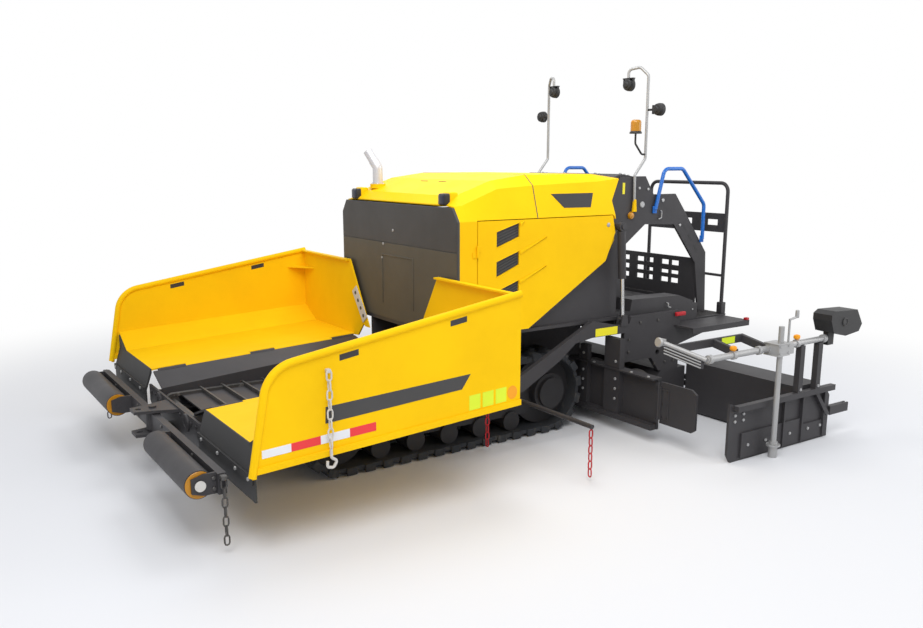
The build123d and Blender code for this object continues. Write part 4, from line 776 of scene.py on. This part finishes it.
# %% Dark band and blank stickers
bm = bmesh.new()
film(bm, ((1.798, 0.705), (1.794, 0.798), (0.845, 0.851), (0.908, 0.764)))
piece("wing_dark_band", bm, PANEL, "wing_left")
bm = bmesh.new()
for i in range(3):
    x, z = 0.855 - i * 0.098, 0.622 + i * 0.006
    film(bm, ((x, z), (x, z + 0.094), (x - 0.082, z + 0.099), (x - 0.082, z + 0.005)))
piece("wing_stickers", bm, STICKER, "wing_left")
bm = bmesh.new()
film(bm, [(0.532 + 0.038 * cos(i * pi / 8), 0.690 + 0.043 * sin(i * pi / 8)) for i in range(16)], 0.0004)
piece("wing_round_sticker", bm, ORANGE, "wing_left")

# %% Slots under the rims, drawn as plates of painted shade, and bolts of the flaps
RIM_X, RIM_Z, RIM_SLOPE = 0.470, 1.303, 0.1555          # the rim's rear end, and its fall forwards
for side, sign in SIDES:
    bm = bmesh.new()
    for x in (1.645, 0.930):
        z = RIM_Z - RIM_SLOPE * (x - RIM_X) - 0.052
        half, lean = 0.058, 0.058 * RIM_SLOPE
        # one dark plate on each face of the wall: painted shade that stands for the inside of the slot
        for y, out in ((WALL, 0.0012), (WALL - 0.012, -0.0012)):
            y *= sign
            plate(bm, ((x - half, y, z - 0.017 + lean), (x + half, y, z - 0.017 - lean),
                       (x + half, y, z + 0.017 - lean), (x - half, y, z + 0.017 + lean)),
                  (0, sign * out, 0), 0.0004)
    piece(f"rim_slot_shade_{side}", bm, DARK, f"wing_{side}")
    bm = bmesh.new()
    for y in (0.730, 1.030, 1.330, 1.530):
        stamp(bm, BOLT, facing((2.208, sign * y, 0.4465), (1, 0, 0)))
    piece(f"flap_bolts_{side}", bm, SILVER, f"wing_{side}")

# %% Bar with holes on the right wing's back plate; the holes are dark discs of painted shade
BAR_TOP, BAR_FOOT = Vector((0.482, -0.606, 1.068)), Vector((0.482, -0.424, 0.828))
bm, holes = bmesh.new(), bmesh.new()
across = (BAR_FOOT - BAR_TOP).cross(Vector((1, 0, 0))).normalized() * 0.045
plate(bm, (BAR_TOP - across, BAR_TOP + across, BAR_FOOT + across, BAR_FOOT - across), (0.006, 0, 0), 0.0015)
# each hole is a thin dark disc on the bar's face: painted shade for the hole
for share in (0.14, 0.38, 0.62, 0.86):
    turned(holes, ((0.0, 0.0), (0.0145, 0.0), (0.0155, 0.001), (0.0, 0.001)),
           BAR_TOP.lerp(BAR_FOOT, share) + Vector((0.0058, 0, 0)), (1, 0, 0), 20)
piece("back_plate_bar", bm, WHITE, "wing_right")
piece("back_plate_bar_hole_shade", holes, PANEL, "wing_right")

# %% [markdown]
# ## Push rollers, nose and beam
# Each push roller turns on a pin whose end shows as a pale hub in an amber ring. The ring rides on the
# roller, so that it turns with it.

# %% Roller ends
ROLLER_X, ROLLER_Z = 2.420, 0.400
HUB_BOLT = hexagon_bolt(0.004, 0.002)
for side, sign in SIDES:
    bm = bmesh.new()
    for y, way in ((1.3502, 1), (0.5138, -1)):
        turned(bm, ((0.030, 0.0), (0.074, 0.0), (0.076, 0.003), (0.074, 0.005), (0.030, 0.005)),
               (ROLLER_X, sign * y, ROLLER_Z), (0, sign * way, 0), 32)
    piece(f"roller_ring_{side}", bm, AMBER, f"push_roller_{side}")
    bm = bmesh.new()
    turned(bm, ((0.0, 0.0), (0.028, 0.0), (0.030, 0.002), (0.030, 0.008), (0.0, 0.008)),
           (ROLLER_X, sign * 1.3742, ROLLER_Z), (0, sign, 0), 24)
    for angle in range(0, 360, 90):
        out = Vector((cos(radians(angle)), 0, sin(radians(angle)))) * 0.020
        stamp(bm, HUB_BOLT, facing(Vector((ROLLER_X, sign * 1.382, ROLLER_Z)) + out, (0, sign, 0)))
    piece(f"roller_hub_{side}", bm, WHITE, f"push_roller_{side}")

# %% Bulkhead bosses and beam bolts
BULKHEAD_X, BEAM_X = 2.1752, 2.3302
bm, bolts = bmesh.new(), bmesh.new()
for sign in (1, -1):
    turned(bm, ((0.0, 0.0), (0.060, 0.0), (0.060, 0.010), (0.056, 0.014), (0.030, 0.014), (0.028, 0.010),
                (0.0, 0.010)), (BULKHEAD_X, sign * 0.316, 0.440), (1, 0, 0), 32)
    for y, z in ((0.42, 0.462), (0.52, 0.462), (0.18, 0.462), (0.12, 0.300), (0.34, 0.300)):
        stamp(bm, BOLT, facing((BULKHEAD_X, sign * y, z), (1, 0, 0)))
    for y, z in ((0.30, 0.365), (0.30, 0.435), (0.95, 0.365), (0.95, 0.435)):
        stamp(bolts, BOLT, facing((BEAM_X, sign * y, z), (1, 0, 0)))
    for z in (0.370, 0.430):
        stamp(bolts, BOLT, facing((2.345, sign * 1.3702, z), (0, sign, 0)))
piece("bulkhead_bosses", bm, DARK, "chassis")
piece("beam_bolts", bolts, STEEL, "push_beam")

# %% [markdown]
# ## Hood
# The bonnet is pressed sheet. Its folds, the joint across the roof, the handles and the ribs that run back
# from the vents are what tell the eye that it is sheet and not a block. Each vent is a dark louvre set
# back in its opening, and the blank badge lies on the slope above the door.

# %% Front panel
FACE_X, SHEET = 0.4402, 0.003
BEAD_Y, BEAD_Z = (-0.190, 0.280), (1.000, 1.391)
bm, lower, locks = (bmesh.new() for _ in range(3))
plate(bm, ((FACE_X, -0.866, 1.484), (FACE_X, 0.866, 1.484), (FACE_X, 0.866, 1.688), (FACE_X, 0.797, 1.781),
           (FACE_X, -0.797, 1.781), (FACE_X, -0.866, 1.688)), (SHEET, 0, 0), 0.0012)
piece("front_panel_upper", bm, PANEL, "chassis")
plate(lower, ((FACE_X, -0.866, 0.890), (FACE_X, 0.866, 0.890), (FACE_X, 0.866, 1.478),
              (FACE_X, -0.866, 1.478)), (SHEET, 0, 0), 0.0012)
# a low bead is pressed round three sides of a rectangle
for (low_y, high_y), (low_z, high_z) in ((BEAD_Y, (BEAD_Z[1] - 0.012, BEAD_Z[1])),
                                         ((BEAD_Y[0] - 0.006, BEAD_Y[0] + 0.006), BEAD_Z),
                                         ((BEAD_Y[1] - 0.006, BEAD_Y[1] + 0.006), BEAD_Z)):
    brick(lower, (FACE_X + 0.001, low_y, low_z), (FACE_X + 0.0075, high_y, high_z), 0.003)
piece("front_panel_lower", lower, OLIVE, "chassis")
for y, z in ((-0.012, 1.581), (-0.169, 1.468), (-0.193, 1.360)):
    turned(locks, ((0.0, 0.0), (0.011, 0.0), (0.011, 0.003), (0.008, 0.005), (0.0, 0.005)),
           (FACE_X + SHEET, y, z), (1, 0, 0), 16)
piece("front_panel_locks", locks, SILVER, "chassis")

# %% Seam and handles of the roof
DOOR_TOP, FLANK_Y, CREASE_Y, FLAT_Y = 1.690, 0.870, 0.800, 0.705
ROOF = ((0.420, 1.790, 1.800), (0.350, 1.800, 1.860), (0.060, 1.905, 1.960), (-0.250, 1.925, 2.000),
        (-0.900, 1.945, 2.000), (-1.100, 1.966, 1.975))         # place, height of crease, height of flat


def roof_at(x):
    """Heights of the roof's side crease and of its flat part at a place along the hood."""
    for (x1, crease1, top1), (x2, crease2, top2) in zip(ROOF, ROOF[1:]):
        if x2 <= x <= x1:
            share = (x1 - x) / (x1 - x2)
            return crease1 + share * (crease2 - crease1), top1 + share * (top2 - top1)


def over_roof(bm, x, width):
    """A thin strip over the hood from one flank to the other."""
    crease, top = roof_at(x)
    points = ((-FLANK_Y, DOOR_TOP), (-CREASE_Y, crease), (-FLAT_Y, top), (FLAT_Y, top), (CREASE_Y, crease),
              (FLANK_Y, DOOR_TOP))
    for (y1, z1), (y2, z2) in zip(points, points[1:]):
        out = Vector((0, z1 - z2, y2 - y1)).normalized() * 0.0012
        low = [Vector((x - width / 2, y1, z1)), Vector((x - width / 2, y2, z2)),
               Vector((x + width / 2, y2, z2)), Vector((x + width / 2, y1, z1))]
        for corner in low:
            if abs(corner.y) < 0.75:
                corner.z += roof_at(corner.x)[1] - top
        plate(bm, low, out)


bm = bmesh.new()
over_roof(bm, -0.256, 0.007)
for y in (-0.10, 0.16):
    brick(bm, (0.100, y - 0.05, roof_at(0.100)[1] - 0.003), (0.108, y + 0.05, roof_at(0.100)[1] + 0.0012),
          0.0005)
piece("roof_seam", bm, PANEL, "chassis")

# %% Bare badge on the slope above the left door
BADGE = ((-0.410, 1.862), (-0.515, 1.760), (-0.775, 1.757), (-0.820, 1.862))


def slope_at(x, z):
    """A point on the sloping strip of the hood above the left door."""
    share = (z - DOOR_TOP) / (roof_at(x)[0] - DOOR_TOP)
    return Vector((x, FLANK_Y - (FLANK_Y - CREASE_Y) * share, z))


bm = bmesh.new()
lift = Vector((0, 0.97, 0.26)).normalized()
plate(bm, [slope_at(x, z) + lift * 0.0003 for x, z in BADGE], lift * 0.002, 0.0006)
piece("blank_badge", bm, BLACK, "chassis")

# %% Louvres, ribs and locks of the side doors
VENTS = ((1.500, 1.570), (1.290, 1.370), (1.080, 1.160))        # lower edge at the front and at the rear
LOUVRE_Y, DOOR_Y, RIB_RISE = 0.8562, 0.8698, 0.38
for side, sign in SIDES:
    louvre, ribs, lock = (bmesh.new() for _ in range(3))
    y = sign * LOUVRE_Y
    for front_z, rear_z in VENTS:
        plate(louvre, ((0.109, y, front_z + 0.001), (0.109, y, front_z + 0.109), (-0.089, y, rear_z + 0.099),
                       (-0.089, y, rear_z + 0.001)), (0, sign * 0.002, 0), 0.0008)
        for share in (0.2, 0.4, 0.6, 0.8):
            front, rear = front_z + 0.110 * share, rear_z + 0.100 * share
            plate(louvre, ((0.105, y, front - 0.004), (0.105, y, front + 0.004), (-0.085, y, rear + 0.004),
                           (-0.085, y, rear - 0.004)), (0, sign * 0.009, 0), 0.001)
        # a rib runs rearwards and up from each vent, to the door's edge at most
        length = min(0.245, (DOOR_TOP - rear_z - 0.106) / RIB_RISE)
        start = Vector((-0.095, sign * (DOOR_Y - 0.0003), rear_z + 0.098))
        end = start + Vector((-length, 0, length * RIB_RISE))
        plate(ribs, (start, start - Vector((0, 0, 0.026)), end - Vector((0, 0, 0.004)), end),
              (0, sign * 0.008, 0), 0.0035, 3)
        # the pressed lips under and over the vent
        tube(ribs, ((0.114, sign * DOOR_Y, front_z - 0.004), (-0.094, sign * DOOR_Y, rear_z - 0.004)), 0.003,
             around=8)
        tube(ribs, ((-0.094, sign * DOOR_Y, rear_z + 0.103), (0.114, sign * DOOR_Y, front_z + 0.113)), 0.003,
             around=8)
    turned(lock, ((0.0, 0.0), (0.016, 0.0), (0.016, 0.003), (0.012, 0.005), (0.0, 0.005)),
           (-0.945, sign * 0.8702, 1.620), (0, sign, 0), 24)
    brick(lock, (-0.955, sign * 0.875, 1.6185), (-0.935, sign * 0.878, 1.6215), 0.0008, 1)
    piece(f"door_louvres_{side}", louvre, PANEL, f"hood_door_{side}")
    piece(f"door_ribs_{side}", ribs, YELLOW, f"hood_door_{side}")
    piece(f"door_lock_{side}", lock, SILVER, f"hood_door_{side}")

# %% [markdown]
# ## Operator's station
# The arches are thick plates that carry the rails, the masts and the console. Round pale bolts, a hook, a
# small orange lamp and a few blank labels are fixed to their outer faces, and two rows of slots lighten
# the rear legs. The slots are thin black plates on the legs' faces: painted shade for the openings.

# %% Arch fittings
ARCH_FACE = ARCH_Y + 0.0002


def coat_hook(bm, x, face, top, sign, reach, drop):
    """A bent pin for a hose or a coat: it reaches along and out, and drops to its bend and to its tip."""
    out = face + sign * reach[1]
    tube(bm, ((x, face, top), (x, out, top), (x, out, top - drop[0]), (x + reach[0], out, top - drop[1])),
         0.005, 0.01, 8, 4)


bolts, labels, lamp, slots = (bmesh.new() for _ in range(4))
for sign in (1, -1):
    face = sign * ARCH_FACE
    for x, z, size in ((-1.560, 1.745, 0.026), (-1.800, 1.775, 0.016), (-1.520, 1.880, 0.012),
                       (-1.620, 1.870, 0.012), (-1.330, 1.470, 0.012), (-2.020, 1.560, 0.012)):
        turned(bolts, ((0.0, 0.0), (size, 0.0), (size, 0.004), (size * 0.8, 0.008), (0.0, 0.009)),
               (x, face, z), (0, sign, 0), 20)
    coat_hook(bolts, -1.780, face, 1.690, sign, (0.035, 0.014), (0.060, 0.068))
    for x, z in ((-1.345, 1.880), (-1.325, 1.330)):
        brick(labels, (x - 0.013, face, z - 0.045), (x + 0.013, face + sign * 0.0015, z + 0.045), 0.0004, 1)
    turned(lamp, ((0.0, 0.0), (0.030, 0.0), (0.031, 0.006), (0.026, 0.018), (0.014, 0.024), (0.0, 0.025)),
           (-1.430, face, 1.660), (0, sign, 0), 24)
    # each slot is a thin black plate on the leg's face, painted shade where the leg would be cut through
    for top, foot in (((-2.020, 1.500), (-2.190, 1.290)), ((-2.060, 1.560), (-2.250, 1.330))):
        top, foot = Vector((top[0], face, top[1])), Vector((foot[0], face, foot[1]))
        along = (foot - top).normalized()
        across = Vector((along.z, 0, -along.x)) * 0.010
        along *= 0.034
        for share in (0.1, 0.5, 0.9):
            middle = top.lerp(foot, share)
            plate(slots, (middle - along - across, middle + along - across, middle + along + across,
                          middle - along + across), (0, sign * 0.0008, 0), 0.0003)
piece("arch_bolts", bolts, SILVER, "chassis")
piece("arch_labels", labels, LABEL, "chassis")
piece("arch_side_lamps", lamp, AMBER, "chassis")
piece("arch_slot_shade", slots, BLACK, "chassis")

# %% [markdown]
# The console is a sloping desk across the arches, with three dark panels and rows of knobs that face the
# seat side. None of it is lettered.

# %% Console controls
DESK = Vector((-1.450, 0, 1.9785))
UP, ALONG = Vector((-0.150, 0, 0.990)).normalized(), Vector((-0.989, 0, -0.150))
bm, knobs = bmesh.new(), bmesh.new()
for y, width, length in ((0.0, 0.15, 0.07), (0.34, 0.07, 0.05), (-0.34, 0.07, 0.05)):
    corners = [DESK + Vector((0, y + dy, 0)) + ALONG * dx for dx, dy in
               ((-length, -width), (-length, width), (length, width), (length, -width))]
    plate(bm, corners, UP * 0.006, 0.002)
for y in (-0.50, -0.20, 0.20, 0.50):
    for step in (-0.045, 0.0, 0.045):
        turned(knobs, ((0.0, 0.0), (0.013, 0.0), (0.011, 0.014), (0.009, 0.016), (0.0, 0.016)),
               DESK + Vector((0, y, 0)) + ALONG * step, UP, 16)
piece("console_panels", bm, BLACK, "chassis")
piece("console_knobs", knobs, SILVER, "chassis")

# %% Treads and bolts of the platform
STEP_X, STEP_Y, TREADS, TREAD_PITCH = -2.440, 0.780, 12, 0.031
bm, bolts = bmesh.new(), bmesh.new()
for x in (-1.520, -1.790):
    brick(bm, (x - 0.003, -0.580, 0.9902), (x + 0.003, 0.580, 0.9922))
for i in range(TREADS):
    x = STEP_X + 0.015 + i * TREAD_PITCH
    brick(bm, (x, -STEP_Y, 0.7762), (x + 0.006, STEP_Y, 0.7792), 0.001, 1)
for sign in (1, -1):
    face = sign * 0.8002
    for x in (-1.250, -1.420, -1.640, -1.860, -2.020):
        stamp(bolts, SMALL_BOLT, facing((x, face, 0.855), (0, sign, 0)))
    coat_hook(bolts, -1.700, face, 0.940, sign, (-0.030, 0.020), (0.035, 0.040))
piece("step_treads", bm, STEEL, "chassis")
piece("platform_bolts", bolts, SILVER, "chassis")

# %% [markdown]
# ## Auger channel, arms and screed
# Bolts through the posts, hinge pins on the leaves and blank labels on the arms are small, but they give
# the dark plates their scale. All of them are stamped from two sizes of bolt.

# %% Bolts of the auger boards
bm = bmesh.new()
for sign in (1, -1):
    for y, x in ((0.575, -1.0002), (0.960, -0.9902)):
        for z in (0.260, 0.340, 0.420, 0.560):
            stamp(bm, BOLT, facing((x, sign * y, z), (1, 0, 0)))
    for y in (0.700, 1.120, 1.300):
        stamp(bm, BOLT, facing((-1.0, sign * y, 0.5022), (0, 0, 1)))
piece("board_bolts", bm, SILVER, "chassis")
LEAF_X = -1.0398
for side, sign in SIDES:
    bm = bmesh.new()
    for z in (0.215, 0.315, 0.415):
        for y in (1.420, 1.465):
            stamp(bm, SMALL_BOLT, facing((LEAF_X, sign * y, z), (1, 0, 0)))
    brick(bm, (LEAF_X, sign * 1.400, 0.200), (LEAF_X + 0.006, sign * 1.480, 0.430), 0.002, 1)
    piece(f"leaf_hinge_bolts_{side}", bm, DARK, f"auger_leaf_{side}")

# %% Bolts and labels of the tow arms
bm, label = bmesh.new(), bmesh.new()
for sign in (1, -1):
    face = sign * 0.9002
    for x, z in ((-1.180, 0.600), (-1.180, 0.700), (-1.480, 0.470), (-1.600, 0.470), (-1.700, 0.470),
                 (-1.300, 0.830), (-1.500, 0.830)):
        stamp(bm, BOLT, facing((x, face, z), (0, sign, 0)))
    turned(bm, ((0.0, 0.0), (0.020, 0.0), (0.022, 0.003), (0.022, 0.010), (0.018, 0.014), (0.0, 0.014)),
           (0.040, sign * 0.9202, 0.470), (0, sign, 0), 24)
    brick(label, (-1.050, face, 0.764), (-0.820, face + sign * 0.0015, 0.826), 0.0004, 1)
piece("arm_bolts", bm, STEEL, "screed")
piece("arm_labels", label, LABEL, "screed")

# %% [markdown]
# ## Frame of the levelling tube
# Between the levelling tube and the tow arm lies a light frame of channels. The front channel hangs below
# the silver arm and has three ribs pressed along it. When the extension is drawn in, the frame slides past
# the tow arm's outer face.

# %% Frame of the levelling tube
FRAME_IN, FRAME_OUT, FRAME_TOP, FRAME_DEEP = 1.768, 1.985, 0.867, 0.058
FRAME_CROSS = (-1.120, -1.430)
down = Vector((0, 0, -FRAME_DEEP))
for side, sign in SIDES:
    body = f"extension_{side}"
    bm, ribs, label = (bmesh.new() for _ in range(3))
    inner, outer = Vector((-0.650, sign * FRAME_IN, FRAME_TOP)), Vector((-0.774, sign * FRAME_OUT, 0.790))
    plate(bm, (inner, outer, outer + down, inner + down), (-0.030, 0, 0), 0.002)
    # the channel along the tow arm, and the cross channels out to the tube
    start = Vector((-0.664, inner.y, inner.z))
    back = Vector((FRAME_CROSS[-1], inner.y, inner.z))
    plate(bm, (start, back, back + down, start + down), (0, sign * 0.022, 0), 0.002)
    for x in FRAME_CROSS:
        near, far = Vector((x, inner.y, inner.z)), Vector((x, outer.y, 0.826))
        plate(bm, (near, far, far + down, near + down), (-0.030, 0, 0), 0.002)
    piece(f"tube_frame_{side}", bm, DARK, body)
    for drop in (0.004, 0.024, 0.044):
        top, low = Vector((0.0002, 0, -drop)), Vector((0.0002, 0, -drop - 0.008))
        plate(ribs, (inner + top, outer + top, outer + low, inner + low), (0.007, 0, 0), 0.001)
    # a pivot cap at the arm's inner end
    turned(ribs, ((0.0, 0.0), (0.030, 0.0), (0.033, 0.003), (0.033, 0.014), (0.028, 0.018), (0.0, 0.018)),
           (-0.632, sign * 1.740, 0.890), (1, 0, 0.2))
    piece(f"frame_ribs_{side}", ribs, SILVER, body)
    face = inner.y + sign * 0.0222
    plate(label, ((-1.210, face, 0.814), (-1.350, face, 0.814), (-1.350, face, 0.862), (-1.210, face, 0.862)),
          (0, sign * 0.001, 0), 0.0004)
    piece(f"frame_label_{side}", label, STICKER, body)

# %% Red latch on each tow arm and red corner block on each walkway
bm = bmesh.new()
for sign in (1, -1):
    brick(bm, (-1.805, sign * 0.9004, 0.842), (-1.695, sign * 0.924, 0.874), 0.005)
    brick(bm, (-2.399, sign * 1.066, 0.7684), (-2.362, sign * 1.099, 0.788), 0.004)
piece("arm_latches", bm, RED, "screed")

# %% [markdown]
# ## Levelling gear and end plates
# The levelling tube is held by pale collars, and its two clamps have orange knobs. A post with a crank
# stands in a frame at the tube's middle. All of it is turned or stamped, and rides on the extension.

# %% Knobs and collars of the levelling tube
TUBE_Y, TUBE_Z, POST_X, POST_Y = 2.007, 0.797, -1.500, 2.067
for side, sign in SIDES:
    knobs, collars = bmesh.new(), bmesh.new()
    for x in (-1.070, -1.770):
        turned(knobs, ((0.0, 0.0), (0.012, 0.0), (0.012, 0.010), (0.022, 0.016), (0.025, 0.026),
                       (0.022, 0.038), (0.012, 0.043), (0.0, 0.044)),
               (x, sign * TUBE_Y, TUBE_Z + 0.0215), (0.1, 0, 1), 16)
    for x in (-0.830, -1.070, -1.340, -1.770, -2.090):
        turned(collars, ((0.0222, 0.0), (0.030, 0.0), (0.031, 0.002), (0.031, 0.032), (0.030, 0.034),
                         (0.0222, 0.034)), (x + 0.017, sign * TUBE_Y, TUBE_Z), (-1, 0, 0), 24)
    # the frame that holds the post, its bolts, the collar at the post's foot and the crank's grip
    for z in (TUBE_Z - 0.045, TUBE_Z + 0.037):
        brick(collars, (POST_X - 0.066, sign * 1.975, z), (POST_X + 0.066, sign * 2.104, z + 0.008), 0.003)
    for x in (-0.046, 0.046):
        for z in (-0.024, 0.024):
            stamp(collars, SMALL_BOLT, facing((POST_X + x, sign * 2.1012, TUBE_Z + z), (0, sign, 0)))
    turned(collars, ((0.0203, 0.0), (0.030, 0.0), (0.030, 0.020), (0.0203, 0.020)),
           (POST_X, sign * POST_Y, 0.0972), (0, 0, 1), 24)
    turned(collars, ((0.0, 0.0), (0.013, 0.0), (0.014, 0.004), (0.014, 0.050), (0.011, 0.055), (0.0, 0.055)),
           (POST_X - 0.165, sign * POST_Y, 1.006), (0, 0, 1), 16)
    piece(f"pole_knobs_{side}", knobs, ORANGE, f"extension_{side}")
    piece(f"pole_collars_{side}", collars, SILVER, f"extension_{side}")

# %% Bolts of the end plates
END_BOLTS = ((1.9992, (-1.300, -1.500, -1.780, -2.000, -2.150), (0.110,)),
             (1.9852, (-1.160, -1.250), (0.300, 0.345)),
             (2.0302, (-1.825, -2.040), (0.445,)))      # face of the end plate, places along it, heights
for side, sign in SIDES:
    bm = bmesh.new()
    for y, columns, rows in END_BOLTS:
        for x in columns:
            for z in rows:
                stamp(bm, BOLT, facing((x, sign * y, z), (0, sign, 0)))
    piece(f"end_plate_bolts_{side}", bm, SILVER, f"extension_{side}")

# %% [markdown]
# The control box at the rear end of the tube has six pale keys on its sloping face, and one round dark lens
# on its side. A matrix that faces along the slope puts the keys in rows and columns.

# %% Keys and lens of the control boxes
SLOPE = (-0.84, 0, 0.55)
for side, sign in SIDES:
    keys, lens = bmesh.new(), bmesh.new()
    keyboard = facing((-2.418, sign * TUBE_Y, 0.942), SLOPE)
    for row in (-0.045, 0.0, 0.045):
        for column in (-0.045, 0.045):
            turned(keys, ((0.0, -0.002), (0.012, -0.002), (0.011, 0.004), (0.0, 0.005)),
                   keyboard @ Vector((column, row, 0.0)), SLOPE, 16)
    turned(lens, ((0.020, 0.0), (0.030, 0.0), (0.032, 0.004), (0.028, 0.010), (0.024, 0.010), (0.022, 0.004),
                  (0.0, 0.003)), (-2.230, sign * (TUBE_Y + 0.0781), 0.920), (0, sign, 0), 24)
    piece(f"control_keys_{side}", keys, SILVER, f"extension_{side}")
    piece(f"control_lens_{side}", lens, PANEL, f"extension_{side}")
